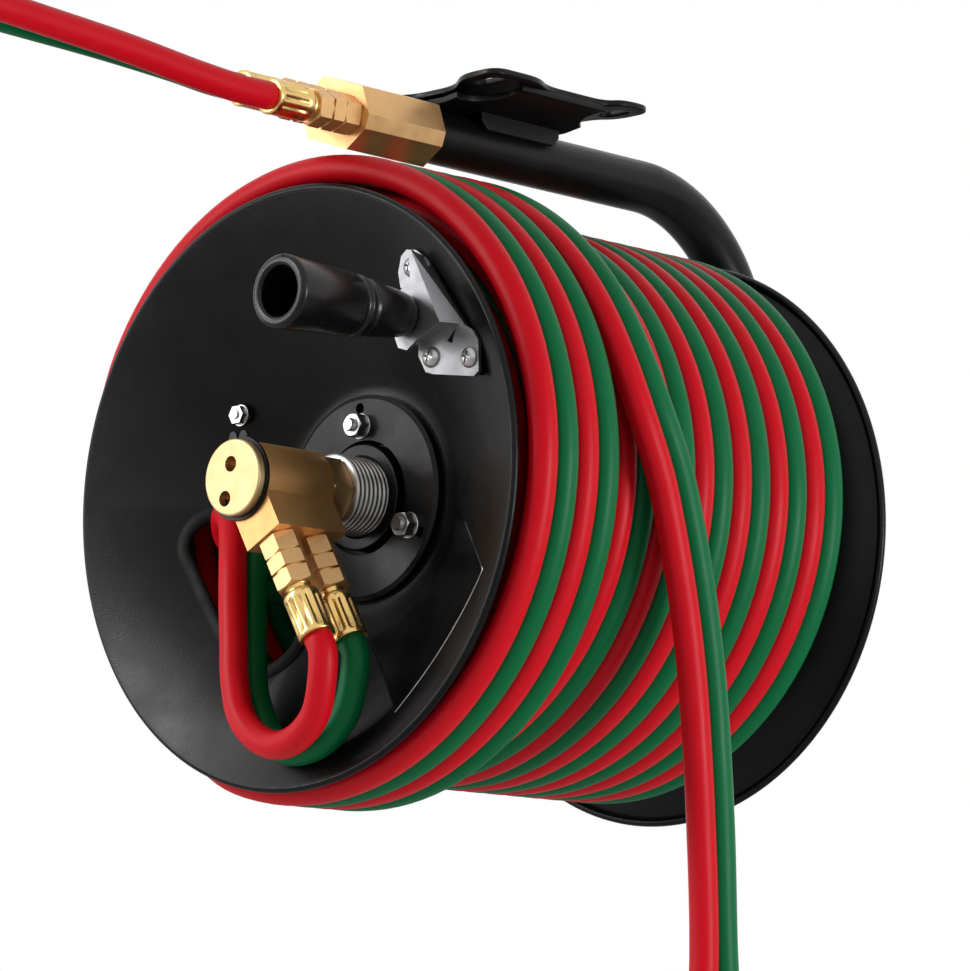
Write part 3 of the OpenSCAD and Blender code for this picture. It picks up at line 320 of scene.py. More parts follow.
def nut_profile(flats, low, high, bore, groove=None):
    """Outline of a nut with turned-down corners, to be trimmed to its flats."""
    corner = flats / 2 / math.cos(math.pi / 6) + 0.02
    face = flats / 2 * 0.98
    rise = (corner - face) * 0.6
    first = [(face + (corner - face) * k / 6, low + rise * k / 6) for k in range(7)]
    back = [(r, low + high - z) for r, z in reversed(first)]
    if groove:
        first += [(corner, groove[0]), (groove[2], groove[0] + 0.2), (groove[2], groove[1] - 0.2),
                  (corner, groove[1])]
    return [(bore, low)] + first + back + [(bore, high)]


def made_from(bm, name, sharp=35.0):
    for face in bm.faces:
        face.smooth = True
    mesh = bpy.data.meshes.new(name)
    bm.to_mesh(mesh)
    bm.free()
    mesh.set_sharp_from_angle(angle=math.radians(sharp))
    return bpy.data.objects.new(name, mesh)


def carve(name, first, second, how="DIFFERENCE", sharp=30.0):
    """Cuts one shape with another and gives the result back as a new object."""
    objs = [made_from(bm, name) for bm in (first, second)]
    for obj in objs:
        bpy.context.scene.collection.objects.link(obj)
    modifier = objs[0].modifiers.new("cut", "BOOLEAN")
    modifier.operation = how
    modifier.object = objs[1]
    modifier.solver = "EXACT"
    seen = objs[0].evaluated_get(bpy.context.evaluated_depsgraph_get())
    bm = bmesh.new()
    bm.from_mesh(seen.to_mesh())
    for obj in objs:
        bpy.data.objects.remove(obj)
    bmesh.ops.remove_doubles(bm, verts=bm.verts, dist=CUT_WELD)
    bmesh.ops.dissolve_limit(bm, angle_limit=math.radians(0.5), verts=bm.verts, edges=bm.edges)
    bmesh.ops.recalc_face_normals(bm, faces=bm.faces)
    return made_from(bm, name, sharp)


def even_shading(obj):
    modifier = obj.modifiers.new("even shading", "WEIGHTED_NORMAL")
    modifier.keep_sharp = True
    return obj


def eased(bm, width, angle=24.0, segments=2):
    """Bevels the edges that are sharper than an angle."""
    edges = [e for e in bm.edges if len(e.link_faces) == 2 and e.calc_face_angle(0) > math.radians(angle)]
    bmesh.ops.bevel(bm, geom=edges, offset=width * MM, offset_type="OFFSET", segments=segments,
                    profile=0.5, affect="EDGES", clamp_overlap=True, material=-1)


def dressed(node, body, slot_name, width=0.4, segments=2):
    """A merged copy of a solid with eased edges and smooth curves."""
    bm = bmesh.new()
    bm.from_mesh(nodes[node].data)
    bm.transform(nodes[node].matrix_world)
    bmesh.ops.remove_doubles(bm, verts=bm.verts, dist=SOLID_WELD)
    bmesh.ops.dissolve_limit(bm, angle_limit=math.radians(1), verts=bm.verts, edges=bm.edges)
    if width:
        eased(bm, width, segments=segments)
    bmesh.ops.recalc_face_normals(bm, faces=bm.faces)
    return keep(even_shading(made_from(bm, node + "_eased", 40)), body, slot_name, node)


# Hoses
HOSE_R = 6.4
PITCH = 13.0
HOSE_STEP = 0.004
JUMPER_STEP = 0.003


def curve_through(points, step):
    """Points about a step apart on one smooth curve through the given ones."""
    ends = [points[0] * 2 - points[1], *points, points[-1] * 2 - points[-2]]
    out = []
    for p0, p1, p2, p3 in zip(ends, ends[1:], ends[2:], ends[3:]):
        count = max(1, round((p2 - p1).length / step))
        knots = [0.0]
        for a, b in ((p0, p1), (p1, p2), (p2, p3)):
            knots.append(knots[-1] + max((b - a).length, 1e-6) ** 0.5)
        t0, t1, t2, t3 = knots
        for i in range(count):
            t = t1 + (t2 - t1) * i / count
            a1 = p0 * ((t1 - t) / (t1 - t0)) + p1 * ((t - t0) / (t1 - t0))
            a2 = p1 * ((t2 - t) / (t2 - t1)) + p2 * ((t - t1) / (t2 - t1))
            a3 = p2 * ((t3 - t) / (t3 - t2)) + p3 * ((t - t2) / (t3 - t2))
            b1 = a1 * ((t2 - t) / (t2 - t0)) + a2 * ((t - t0) / (t2 - t0))
            b2 = a2 * ((t3 - t) / (t3 - t1)) + a3 * ((t - t1) / (t3 - t1))
            out.append(b1 * ((t2 - t) / (t2 - t1)) + b2 * ((t - t1) / (t2 - t1)))
    return out + [points[-1]]


def hose(name, path, side, sides=20):
    """A round hose along a path, with a layer that runs round it and along it in metres."""
    bm = bmesh.new()
    layer = bm.loops.layers.uv.new("hose")
    tangents = [(path[min(i + 1, len(path) - 1)] - path[max(i - 1, 0)]).normalized()
                for i in range(len(path))]
    rings, lengths, normal, run = [], [], Vector(side), 0.0
    for i, (centre, tangent) in enumerate(zip(path, tangents)):
        normal = (normal - tangent * normal.dot(tangent)).normalized()
        across = tangent.cross(normal)
        run += (centre - path[i - 1]).length if i else 0
        lengths.append(run)
        rings.append([bm.verts.new(centre + (normal * math.cos(a) + across * math.sin(a)) * HOSE_R * MM)
                      for a in (2 * math.pi * j / sides for j in range(sides))])
    for i, (ring, following) in enumerate(zip(rings, rings[1:])):
        for j in range(sides):
            k = (j + 1) % sides
            face = bm.faces.new((ring[j], ring[k], following[k], following[j]))
            face.smooth = True
            corners = ((j, i), (j + 1, i), (j + 1, i + 1), (j, i + 1))
            for loop, (around, place) in zip(face.loops, corners):
                loop[layer].uv = (around / sides, lengths[place])
    bm.faces.new(reversed(rings[0]))
    bm.faces.new(rings[-1])
    mesh = bpy.data.meshes.new(name)
    bm.to_mesh(mesh)
    bm.free()
    return bpy.data.objects.new(name, mesh)


# Leads: from the inlet block forward over the reel and down to their free ends
LEAD_RED = [(9, -22.5, 170.5), (9, -40, 170.5), (8, -64, 172.5), (7, -105, 177), (6.5, -145, 180),
            (6.5, -180, 182), (6.5, -215, 182.5), (6.5, -250, 178), (6.5, -283, 164),
            (6.5, -308, 140), (6.5, -322, 110), (7, -328, 76), (9.5, -328, 48), (11, -328, 20),
            (11, -328, 0)]
LEAD_GREEN = [(-9, -22.5, 177), (-9, -40, 177), (-8, -64, 178.5), (-7.5, -105, 180.5),
              (-7, -145, 181.5), (-6.5, -180, 182), (-6.5, -215, 181.5), (-6.5, -250, 177),
              (-6.5, -283, 163), (-6.5, -308, 139), (-6.5, -322, 109), (-7, -328, 76),
              (-9.5, -328, 48), (-11, -328, 20), (-11, -328, 0)]

# Tails: over the top of the winding beside its last turn, then straight down
TAIL_R = 143.3
TAIL_SHIFT = [(0, 83.7), (10, 74.3), (20, 69.3), (30, 67.4), (40, 67), (200, 67)]
TAIL_FALL = [(-20, 90.2, 0), (-55, 99, 0), (-92, 105, 0), (-150, 109.5, 0), (-205, 111, 0),
             (-235, 111, 2), (-262, 111, 4), (-278, 111, 4.2), (-290, 111, 4.2)]


def lookup(value, table):
    for (a, low), (b, high) in zip(table, table[1:]):
        if value <= b:
            return low + (high - low) * (value - a) / (b - a)
    return table[-1][1]


def tail_line(green):
    line = []
    for angle in range(200, -1, -10):
        a = math.radians(angle)
        line.append((Vector((TAIL_R * math.cos(a), lookup(angle, TAIL_SHIFT), TAIL_R * math.sin(a))), 0))
    line += [(Vector((TAIL_R, y, z)), spread) for z, y, spread in TAIL_FALL]
    out = []
    for i, (point, spread) in enumerate(line):
        tangent = (line[min(i + 1, len(line) - 1)][0] - line[max(i - 1, 0)][0]).normalized()
        across = (Vector((0, 1, 0)) - tangent * tangent.y).normalized()
        out.append(point + across * (PITCH + spread if green else -spread))
    return out


# Winding: one full layer from back to front, then two raised turns
START_ANGLE = 3060
FULL_SPAN = 2850
CLIMB_SPAN = 60
SLOT_SPAN = 255
CROSS_SPAN = 45
LAST_SPAN = 315
WIND_R = 125
LAYER_RISE = 13.4
START_DIP = 45
START_SHIFT = 8
START_SHIFT_SPAN = 30
FULL_LAYER_Y = 17.5
RAISED_Y = 14
WINDING_OFF = 5
TURN_STEP = 3


def ease(x):
    return (1 - math.cos(math.pi * min(max(x, 0), 1))) / 2


def winding_point(u, side):
    late = u - FULL_SPAN
    radius = WIND_R - LAYER_RISE * (1 - ease(u / START_DIP)) + LAYER_RISE * ease(late / CLIMB_SPAN)
    if late <= 0:
        y = FULL_LAYER_Y - late / 360 * 2 * PITCH - START_SHIFT * (1 - ease(u / START_SHIFT_SPAN))
    else:
        y = FULL_LAYER_Y + (RAISED_Y - FULL_LAYER_Y) * ease(late / CLIMB_SPAN)
        y += 2 * PITCH * ease((late - CLIMB_SPAN - SLOT_SPAN) / CROSS_SPAN)
    angle = math.radians(START_ANGLE - u)
    return at(radius * math.cos(angle), y + side, radius * math.sin(angle) + WINDING_OFF)


for shade, side in (("red", 0), ("green", PITCH)):
    last = FULL_SPAN + CLIMB_SPAN + SLOT_SPAN + CROSS_SPAN + LAST_SPAN
    path = [winding_point(u, side) for u in range(0, last + 1, TURN_STEP)]
    wound = hose(f"winding_{shade}_cover", path, (-1, 0, 0), 16)
    keep(wound, "reel", f"{shade}_hose", f"winding_{shade}")

# Jumpers: from the swivel's outlets through the oval hole
JUMPER_RED = [(40.9, -19.5, -89.9), (35, -17.5, -104.4), (22.5, -15.5, -113.3), (6, -12.5, -115.7),
              (-10, -10, -110), (-20.8, -8, -99.8), (-27.3, -5.5, -83.5), (-30.5, -3, -67.2),
              (-34.4, 0, -50.6), (-38.7, 4, -33.7), (-43.4, 8.5, -21.1), (-50.7, 14.5, -9.7),
              (-60.8, 21, -4.5), (-69.5, 28.5, -6), (-76, 37, -12), (-77, 49, -18),
              (-77.5, 56, -21), (-77.5, 70, -23), (-77.5, 77.7, -23)]
JUMPER_GREEN = [(40.4, 0.5, -88.3), (34.8, 0.8, -103), (20.2, 1, -114.6), (3, 0.7, -117.2),
                (-12, 3, -111), (-22.8, 6.5, -99), (-29.8, 9, -87), (-33.7, 12, -68.8),
                (-36.5, 14.5, -50.4), (-39.3, 18, -32), (-43.5, 23, -19.5), (-51.5, 29, -12.5),
                (-60, 33, -15), (-66, 40, -22), (-67.5, 51, -29), (-67, 57, -33), (-67, 70, -36),
                (-67, 77.7, -36)]
LEAN = math.radians(28.5)
OUTLET_Y = {"red": -20.3, "green": 0.0}
OUTLET_WAY = (math.sin(LEAN), 0, -math.cos(LEAN))
JUMPER_MOUTH = 81.5
for shade, points in (("red", JUMPER_RED), ("green", JUMPER_GREEN)):
    start = [tuple(r * w for w in OUTLET_WAY) for r in (JUMPER_MOUTH, JUMPER_MOUTH + 6)]
    start = [(x, OUTLET_Y[shade], z) for x, _, z in start]
    path = curve_through([at(*p) for p in start + points], JUMPER_STEP)
    keep(hose(f"jumper_{shade}_cover", path, (0, 1, 0)), "reel", f"{shade}_hose", f"jumper_{shade}")

# Inner layers of hose: rings under the full layer, and rings that show behind the oval hole
LAYER_R = 110.6
LAYER_Y = 26
LAYER_TURNS = 16
SHOWN_R = 59.5
SHOWN_Y = 84.6
SHOWN_TURNS = 4
for first, shade, colour in ((0, "red", RED), (1, "green", GREEN)):
    bm = bmesh.new()
    ring = [(math.cos(a) * HOSE_R, math.sin(a) * HOSE_R) for a in (2 * math.pi * k / 12 for k in range(12))]
    for k in range(first, LAYER_TURNS, 2):
        spun(bm, [(LAYER_R + p[0], p[1]) for p in ring], along_axis(0, LAYER_Y + PITCH * k, WINDING_OFF),
             96, True)
    for k in range(first, SHOWN_TURNS, 2):
        spun(bm, [(SHOWN_R + PITCH * k + p[0], p[1]) for p in ring], along_axis(0, SHOWN_Y, 0), 96, True)
    layers = made_from(bm, f"inner_layers_{shade}")
    layers.data.materials.append(dull(f"inner hose {shade}", colour))
    keep(layers, "reel", "hose_pack", "hose_core")


# Discs
def circle_points(x, y, r, start, end, count):
    return [(x + r * math.cos(math.radians(start + (end - start) * k / count)),
             y + r * math.sin(math.radians(start + (end - start) * k / count))) for k in range(count + 1)]


DISH = 50.0
CONE_R = 132.0
SLOPE = 0.625
WALL = 1.77
HOLE_TURN = 212.4
HOLE_OUT = 73.3
HOLE_AT = (HOLE_OUT * math.cos(math.radians(HOLE_TURN)), HOLE_OUT * math.sin(math.radians(HOLE_TURN)))
HOLE_HALF = 28.5
HOLE_R = 17


def cone_y(r):
    return min(DISH, (CONE_R - r) * SLOPE)


def disc_profile():
    outer = soften([(41.5, DISH), (52, DISH), (131.4, 0.375)], 6)
    inner = soften([(131.2, 2.27), (52, DISH + WALL), (41.5, DISH + WALL)], 6)
    return [tuple(p) for p in outer] + circle_points(133, 2, 2, -125, 165, 16) + [tuple(p) for p in inner]


def oval_outline(margin, count=24):
    """Points (x, z) round the oval hole, grown by a margin."""
    r = HOLE_R + margin
    out = []
    for end in (1, -1):
        for k in range(count + 1):
            a = math.pi * k / count - math.pi / 2 if end == 1 else math.pi * k / count + math.pi / 2
            out.append((end * HOLE_HALF + r * math.cos(a), r * math.sin(a)))
    turn = math.radians(HOLE_TURN + 90)
    return [(HOLE_AT[0] + x * math.cos(turn) - z * math.sin(turn),
             HOLE_AT[1] + x * math.sin(turn) + z * math.cos(turn)) for x, z in out]


def cone_shading(obj):
    """Gives the cut cone the normals of a whole one, so that the oval hole leaves no creases."""
    mesh = obj.data
    wanted = [(0, 0, 0)] * len(mesh.loops)
    for face in mesh.polygons:
        for i in face.loop_indices:
            spot = mesh.vertices[mesh.loops[i].vertex_index].co - REEL_FRONT
            out = Vector((spot.x, 0, spot.z))
            normal = (out.normalized() * -SLOPE - Vector((0, 1, 0))).normalized()
            facing = face.normal.dot(normal)
            if 0.058 < out.length < 0.1285 and abs(facing) > 0.995:
                wanted[i] = normal * (1 if facing > 0 else -1)
    mesh.normals_split_custom_set(wanted)
    return obj


bm = bmesh.new()
spun(bm, disc_profile(), along_axis(), 192, True)
holes = bmesh.new()
prism(holes, [(x, -z) for x, z in oval_outline(0)], -5, 90, along_axis())
keep(cone_shading(carve("front_disc_sheet", bm, holes, sharp=40)), "reel", "black_steel", "front_disc")
bm = bmesh.new()
spun(bm, disc_profile(), from_back(), 192, True)
keep(made_from(bm, "back_disc_sheet", 40), "reel", "black_steel", "back_disc")

def bead(bm, points, radius, sides=10, closed=False, height=1.0):
    """A thin round line along points of the part's frame, as high as a share of its width."""
    count = len(points)
    rings = []
    for i, centre in enumerate(points):
        following = points[(i + 1) % count] if closed else points[min(i + 1, count - 1)]
        before = points[i - 1] if closed else points[max(i - 1, 0)]
        tangent = (following - before).normalized()
        side = tangent.cross(Vector((0, 1, 0))).normalized()
        up = side.cross(tangent)
        rings.append([bm.verts.new(centre + (side * math.cos(a) + up * height * math.sin(a)) * radius * MM)
                      for a in (2 * math.pi * k / sides for k in range(sides))])
    for i in range(count if closed else count - 1):
        following = rings[(i + 1) % count]
        for k in range(sides):
            m = (k + 1) % sides
            bm.faces.new((rings[i][k], rings[i][m], following[m], following[k]))
    if not closed:
        bm.faces.new(rings[0])
        bm.faces.new(rings[-1])
    bmesh.ops.recalc_face_normals(bm, faces=bm.faces)


# Rubber edging of the oval hole
EDGING_MARGIN = -1.6
EDGING_SINK = 0.7
EDGING_R = 4.0
EDGING_HEIGHT = 0.62
edging = [at(x, cone_y(math.hypot(x, z)) + EDGING_SINK, z) for x, z in oval_outline(EDGING_MARGIN, 20)]
bm = bmesh.new()
bead(bm, edging, EDGING_R, 16, True, EDGING_HEIGHT)
keep(made_from(bm, "hole_edging_bead", 60), "reel", "black_rubber", "hole_edging")

# Bare place for a label on the dish: a thin glossy sheet with a fine border on its far sides
LABEL = [(56, -5.5), (118, -23), (118, -61), (66, -82)]
FILM_LIFT = 0.1
FILM_THICKNESS = 0.00015
BORDER_LIFT = 0.2
BORDER_R = 0.22
label_corners = [Vector((r * math.cos(math.radians(a)), r * math.sin(math.radians(a)))) for r, a in LABEL]


def on_label(across, out, lift):
    """A point of the label place: across from its first side to its last, out from the hub."""
    outer = label_corners[1].lerp(label_corners[2], across)
    turn = math.radians(LABEL[0][1] + (LABEL[3][1] - LABEL[0][1]) * across)
    inner = Vector((math.cos(turn), math.sin(turn))) * (LABEL[0][0] + (LABEL[3][0] - LABEL[0][0]) * across)
    spot = inner.lerp(outer, out)
    return at(spot.x, cone_y(spot.length) - lift, spot.y)


bm = bmesh.new()
bmesh.ops.create_grid(bm, x_segments=40, y_segments=20, size=1)
for v in bm.verts:
    v.co = on_label((v.co.x + 1) / 2, (v.co.y + 1) / 2, FILM_LIFT)
bmesh.ops.solidify(bm, geom=bm.faces[:], thickness=FILM_THICKNESS)
bmesh.ops.recalc_face_normals(bm, faces=bm.faces)
keep(made_from(bm, "bare_label_place", 40), "reel", "label_film")
bm = bmesh.new()
bead(bm, [on_label(0, 0.35 + 0.65 * k / 12, BORDER_LIFT) for k in range(12)]
     + [on_label(k / 30, 1, BORDER_LIFT) for k in range(31)], BORDER_R, 6)
keep(made_from(bm, "label_border", 60), "reel", "zinc_steel")

# Solids that only get eased edges
for node, body, slot_name, width in (
        ("drum_barrel", "reel", "black_steel", 0.5), ("front_flange", "reel", "black_steel", 0.9),
        ("back_flange", "reel", "black_steel", 0.9), ("front_collar", "reel", "black_steel", 1.0),
        ("back_collar", "reel", "black_steel", 1.0), ("crank_seat", "reel", "black_steel", 0.8),
        ("crank_bracket", "reel", "bracket_zinc", 0.35), ("swivel_body", "reel", "brass_body", 0.6),
        ("snap_ring", "reel", "black_steel", 0.3), ("disc_bolt", "reel", "zinc_steel", 0.3),
        ("grip_spindle", "reel", "zinc_steel", 0.4), ("inlet_block", "frame", "brass", 0.45),
        ("arm_tube", "frame", "black_steel", 0.4), ("saddle", "frame", "black_steel", 0.9)):
    dressed(node, body, slot_name, width)

# Axle with its thread, and the stem with its hexagon
THREAD_Y = 26.0
THREAD_ROOT = 16.6
THREAD_DEPTH = 1.2
THREAD_PITCH = 2.7
THREAD_RINGS = 13
RING_CUTS = 8
AXLE_BORE = 12.6
AXLE_END = 218
STEM_FLATS = 28
bm = bmesh.new()
thread = [(THREAD_ROOT + THREAD_DEPTH * abs(math.sin(math.pi * k / RING_CUTS)) ** 0.7,
           THREAD_Y + THREAD_PITCH * k / RING_CUTS) for k in range(THREAD_RINGS * RING_CUTS + 1)]
spun(bm, [(AXLE_BORE, THREAD_Y)] + thread + [(17, 61.5), (17, 211.5), (23.5, 211.5), (24, 212), (24, 215.4),
     (23.4, 216), (17.6, 217.4), (17, AXLE_END), (AXLE_BORE, AXLE_END)], along_axis(), 128, True)
keep(made_from(bm, "threaded_axle", 60), "frame", "bright_axle", "axle")
bm = bmesh.new()
spun(bm, nut_profile(STEM_FLATS, 12, THREAD_Y, 12.4), along_axis(), 144, True, hexagonal(STEM_FLATS))
spun(bm, [(0, -26.1), (11.3, -26.1), (11.3, 12.2), (12.45, 12.2), (12.45, 44), (0, 44)], along_axis(), 96)
keep(made_from(bm, "stem_with_hexagon", 30), "frame", "brass", "swivel_stem")

# Hose fittings: local +Z runs away from the hose, 0 is the mouth where the hose goes in
NUT_FLATS = 16
NUT_Z = 25.0
ADAPTER_Z = 41.0
PORT_Z = 50.5
FERRULE = [(2.6, 0), (7.7, 0), (8.1, 0.3), (8.2, 1), (8.2, 2.4), (8.1, 3.4), (8.1, 17.2), (8.2, 18.2),
           (8.2, 20.4), (7.9, 21.3), (7.2, 21.9), (5.7, 22.2), (5.5, 23), (5.5, 24.2), (5.9, 24.9),
           (5.3, 25.2), (5.3, 37.2), (4.7, 38), (2.6, 38), (2.2, 37.5), (2.2, 0.5)]
HOSE_NUT = nut_profile(NUT_FLATS, NUT_Z, ADAPTER_Z, 5.4, (NUT_Z + 7.3, NUT_Z + 8.7, 7.6))
HOSE_NUT = HOSE_NUT[:-1] + [(7.0, ADAPTER_Z), (6.7, ADAPTER_Z - 0.4), (6.7, NUT_Z + 3), (5.4, NUT_Z + 3)]
ADAPTER = ([(2.2, 38.3), (5.4, 38.3), (5.4, 28.3), (6.6, 28.3)]
           + nut_profile(NUT_FLATS, ADAPTER_Z, PORT_Z, 6.6) + [(6.4, PORT_Z), (6.4, 59.5), (2.2, 59.5)])


FLUTES = 12
FLUTED_FROM_R = 8.05
FLUTED_LOW = 2.5
FLUTED_HIGH = 18


def crimped(co):
    """Flutes pressed a millimetre deep into a ferrule between its two plain ends."""
    r = math.hypot(co.x, co.y)
    if r < FLUTED_FROM_R or not FLUTED_LOW < co.z < FLUTED_HIGH:
        return co
    dip = (0.5 + 0.5 * math.cos(FLUTES * math.atan2(co.y, co.x))) ** 1.3
    return Vector((co.x * (r - dip) / r, co.y * (r - dip) / r, co.z))


def fittings(name, body, slot_name, profile, shape, places, sharp, node):
    bm = bmesh.new()
    for place in places:
        spun(bm, profile, place, 144, True, shape)
    return keep(made_from(bm, name, sharp), body, slot_name, node)


def port(x, y, z, way, roll=0.0):
    """A fitting whose adapter sits on a port, from the port's place and its outward direction."""
    way = Vector(way)
    return stand(Vector((x, y, z)) + way * PORT_Z, -way, roll)


INLETS = [port(9, 28, 170.5, (0, -1, 0), 10), port(-9, 28, 177, (0, -1, 0), 10)]
OUTLETS = [port(31 * OUTLET_WAY[0], y, 31 * OUTLET_WAY[2], OUTLET_WAY) for y in OUTLET_Y.values()]
for where, body, places in (("inlet", "frame", INLETS), ("outlet", "reel", OUTLETS)):
    fittings(f"{where}_crimped_ferrules", body, "brass_bright", FERRULE, crimped, places, 70,
             f"{where}_ferrules")
    fittings(f"{where}_hose_nuts", body, "brass", HOSE_NUT, hexagonal(NUT_FLATS), places, 30,
             f"{where}_nuts")
    fittings(f"{where}_hex_adapters", body, "brass", ADAPTER, hexagonal(NUT_FLATS), places, 30,
             f"{where}_adapters")

# Leads and tails, each with a ferrule and a nut at its loose end
for part, shade, points, side, length in (
        ("lead", "red", LEAD_RED, (1, 0, 0), 0.44), ("lead", "green", LEAD_GREEN, (1, 0, 0), 0.44),
        ("tail", "red", tail_line(False), (0, 1, 0), 0.80),
        ("tail", "green", tail_line(True), (0, 1, 0), 0.80)):
    path = [at(*p) for p in points]
    cover = hose(f"{part}_hose_{shade}_cover", curve_through(path, HOSE_STEP), side)
    keep(cover, "frame", f"{shade}_hose", f"{part}_hose_{shade}")
    place = [stand(points[-1], (0, 0, -1))]
    ends = [fittings(f"{part}_{shade}_crimped", "frame", "brass_bright", FERRULE, crimped, place, 70,
                     f"{part}_ferrule_{shade}"),
            fittings(f"{part}_{shade}_hose_nut", "frame", "brass", HOSE_NUT, hexagonal(NUT_FLATS), place, 30,
                     f"{part}_nut_{shade}")]
    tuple(path[0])

# Studs of both flanges, each with a washer and a nut
BOLT_ANGLES = (92, 212, 332)
BOLT_CIRCLE = 32.5
BOLT_R = 3
BOLT_FLATS = 10
bm = bmesh.new()
for frame_at in (along_axis, from_back):
    for angle in BOLT_ANGLES:
        place = frame_at(BOLT_CIRCLE * math.cos(math.radians(angle)), 0,
                         BOLT_CIRCLE * math.sin(math.radians(angle)))
        spun(bm, [(0, 38), (2.6, 38)] + [(BOLT_R if k % 2 else 2.75, 38.4 + 0.35 * k) for k in range(6)]
             + [(BOLT_R, 71.5), (0, 71.5)], place, 32)
        spun(bm, nut_profile(BOLT_FLATS, 40.5, 46, BOLT_R), place, 72, True, hexagonal(BOLT_FLATS))
        spun(bm, [(3.05, 46), (5.7, 46), (6, 46.3), (6, 47), (3.05, 47)], place, 48, True)
keep(made_from(bm, "flange_bolts_and_nuts", 30), "reel", "zinc_steel", "flange_bolts")

# Screws with domed heads and a cross in each
SCREWS = ((70.3, 89.3), (81.8, 48.1), (104.2, 45.3))
CROSS_TURN = 20
bm = bmesh.new()
crosses = bmesh.new()
for x, z in SCREWS:
    end = cone_y(math.hypot(x, z)) + 8
    spun(bm, [(0, 2.4), (1.2, 2.44), (2.4, 2.65), (3.4, 3.1), (4.2, 3.8), (4.55, 4.5), (4.6, 5), (2.4, 5),
              (2.4, end - 0.6), (1.8, end), (0, end)], along_axis(x, 0, z), 48)
    prism(crosses, [(2.5, -0.5), (2.5, 0.5), (0.5, 0.5), (0.5, 2.5), (-0.5, 2.5), (-0.5, 0.5), (-2.5, 0.5),
                    (-2.5, -0.5), (-0.5, -0.5), (-0.5, -2.5), (0.5, -2.5), (0.5, -0.5)], 1, 4,
          along_axis(x, 0, z, CROSS_TURN))
keep(carve("domed_screws", bm, crosses), "reel", "zinc_steel", "crank_screws")

# Swivel cap with its two pin holes
PIN_HOLES = ((-0.7, 6), (-4.2, -9))
PIN_HOLE_R = 3.5
bm = bmesh.new()
spun(bm, [(0, -34.7), (15.6, -34.7), (16.4, -34.55), (16.9, -34.1), (17, -33.5), (17, -31.1), (11.4, -31.1),
          (11.4, -26.4), (0, -26.4)], along_axis(), 128)
pins = bmesh.new()
for x, z in PIN_HOLES:
    spun(pins, [(0, -36), (PIN_HOLE_R, -36), (PIN_HOLE_R, -25), (0, -25)], along_axis(x, 0, z), 48)
keep(even_shading(carve("cap_with_pin_holes", bm, pins)), "reel", "brass_cap", "swivel_cap")

# Moulded grip with its two ridges
GRIP_PLACE = (72.74, -79.3, 66.42)
grip = soften([(13, 50), (10, 73.2), (8.5, 77.2), (5.1, 77.2)], 1.5)
rim = soften([(10.7, 58), (10.7, 1.2), (11.9, 0), (14.5, 0), (16, 1.5), (13.9, 40)], 1.0)
ridges = [(12.9, 41.2), (12.6, 42.3), (12.8, 43.5), (13.5, 44.3), (13.7, 45), (13.4, 45.9), (12.6, 46.6),
          (12.4, 47.6), (12.6, 48.8), (12.9, 49.5)]
bm = bmesh.new()
spun(bm, [(5.1, 58)] + [tuple(p) for p in rim] + ridges + [tuple(p) for p in grip],
     along_axis(*GRIP_PLACE), 128, True)
keep(made_from(bm, "moulded_grip", 50), "grip", "black_plastic", "crank_grip")

# Mounting plate with flowing edges and rounded rims
PLATE_T = 3
SLOT_X = 38
SLOT_Y = 43
SLOT_R = 4
half = [(30.5, -54), (52.5, -54), (52.5, -24), (44.5, -10.6), (44.5, 29), (52.5, 34), (52.5, 54), (30.5, 54),
        (22, 46)]
outline = [(13.5, -40)] + half + [(-x, y) for x, y in reversed(half)] + [(-13.5, -40)]
bm = bmesh.new()
prism(bm, soften(outline, 9, True, 6), -PLATE_T, 0, Matrix.Scale(MM, 4))
slots = bmesh.new()
for x in (-SLOT_X, SLOT_X):
    for y in (-SLOT_Y, SLOT_Y):
        ends = (circle_points(x + SLOT_R, y, SLOT_R, -90, 90, 12)
                + circle_points(x - SLOT_R, y, SLOT_R, 90, 270, 12))
        prism(slots, ends, -2 * PLATE_T, PLATE_T, Matrix.Scale(MM, 4))
plate = carve("pressed_plate", bm, slots)
bm = bmesh.new()
bm.from_mesh(plate.data)
eased(bm, 0.8, 50, 3)
keep(even_shading(made_from(bm, "mount_plate_eased", 50)), "frame", "black_steel", "mount_plate")


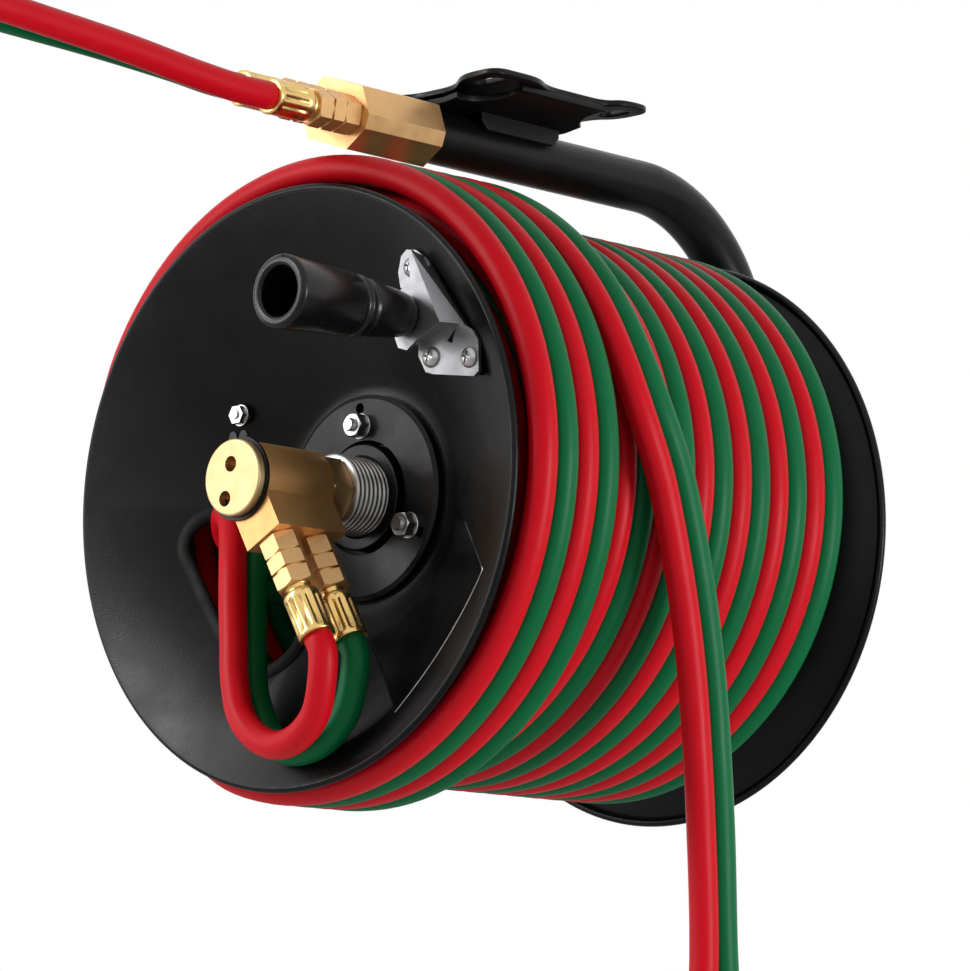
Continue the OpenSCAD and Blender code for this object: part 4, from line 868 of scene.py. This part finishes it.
# Floor, backdrop and light
def lamp(name, place, target, size, share):
    """A square soft light that lights a white card at the target to a share of its full white."""
    data = bpy.data.lights.new(name, "AREA")
    data.size = size
    way = Vector(target) - Vector(place)
    data.energy = share * math.pi ** 2 * way.length_squared
    obj = bpy.data.objects.new(name, data)
    obj.location = place
    obj.rotation_euler = way.to_track_quat("-Z", "Y").to_euler()
    bpy.context.scene.collection.objects.link(obj)


CENTRE = (0.0, -0.15, -0.2)
FLOOR_Z = -0.75
AMBIENT = 0.24
lamp("key light", (-0.9, -1.8, 0.7), CENTRE, 0.6, 0.42)
lamp("left light", (-1.5, -1.65, 0.1), CENTRE, 0.6, 0.15)
lamp("side light", (2.0, 0.2, -0.3), CENTRE, 0.6, 0.45)
lamp("low light", (1.5, -1.4, -1.1), CENTRE, 0.7, 0.4)

world = bpy.data.worlds.new("pale room")
bpy.context.scene.world = world
world.use_nodes = True
tree = world.node_tree
rays = tree.nodes.new("ShaderNodeLightPath")
seen = tree.nodes.new("ShaderNodeMath")
seen.operation = "MAXIMUM"
tree.links.new(rays.outputs["Is Camera Ray"], seen.inputs[0])
tree.links.new(rays.outputs["Is Glossy Ray"], seen.inputs[1])
clear = tree.nodes.new("ShaderNodeMath")
clear.operation = "MAXIMUM"
tree.links.new(seen.outputs[0], clear.inputs[0])
tree.links.new(rays.outputs["Is Transmission Ray"], clear.inputs[1])
level = tree.nodes.new("ShaderNodeMapRange")
tree.links.new(clear.outputs[0], level.inputs["Value"])
level.inputs["To Min"].default_value = AMBIENT
level.inputs["To Max"].default_value = 1.0
tree.nodes["Background"].inputs["Color"].default_value = (1, 1, 1, 1)
tree.links.new(level.outputs["Result"], tree.nodes["Background"].inputs["Strength"])

floor_mesh = bpy.data.meshes.new("floor")
bm = bmesh.new()
bmesh.ops.create_grid(bm, x_segments=1, y_segments=1, size=4)
bmesh.ops.translate(bm, verts=bm.verts, vec=(0, 0, FLOOR_Z))
bm.to_mesh(floor_mesh)
bm.free()
floor = bpy.data.objects.new("floor", floor_mesh)
bpy.context.scene.collection.objects.link(floor)
floor_finish = Finish("pale floor")
floor_finish.set(Base_Color=(0.8, 0.8, 0.8), Roughness=0.9)
floor_mesh.materials.append(floor_finish.material)
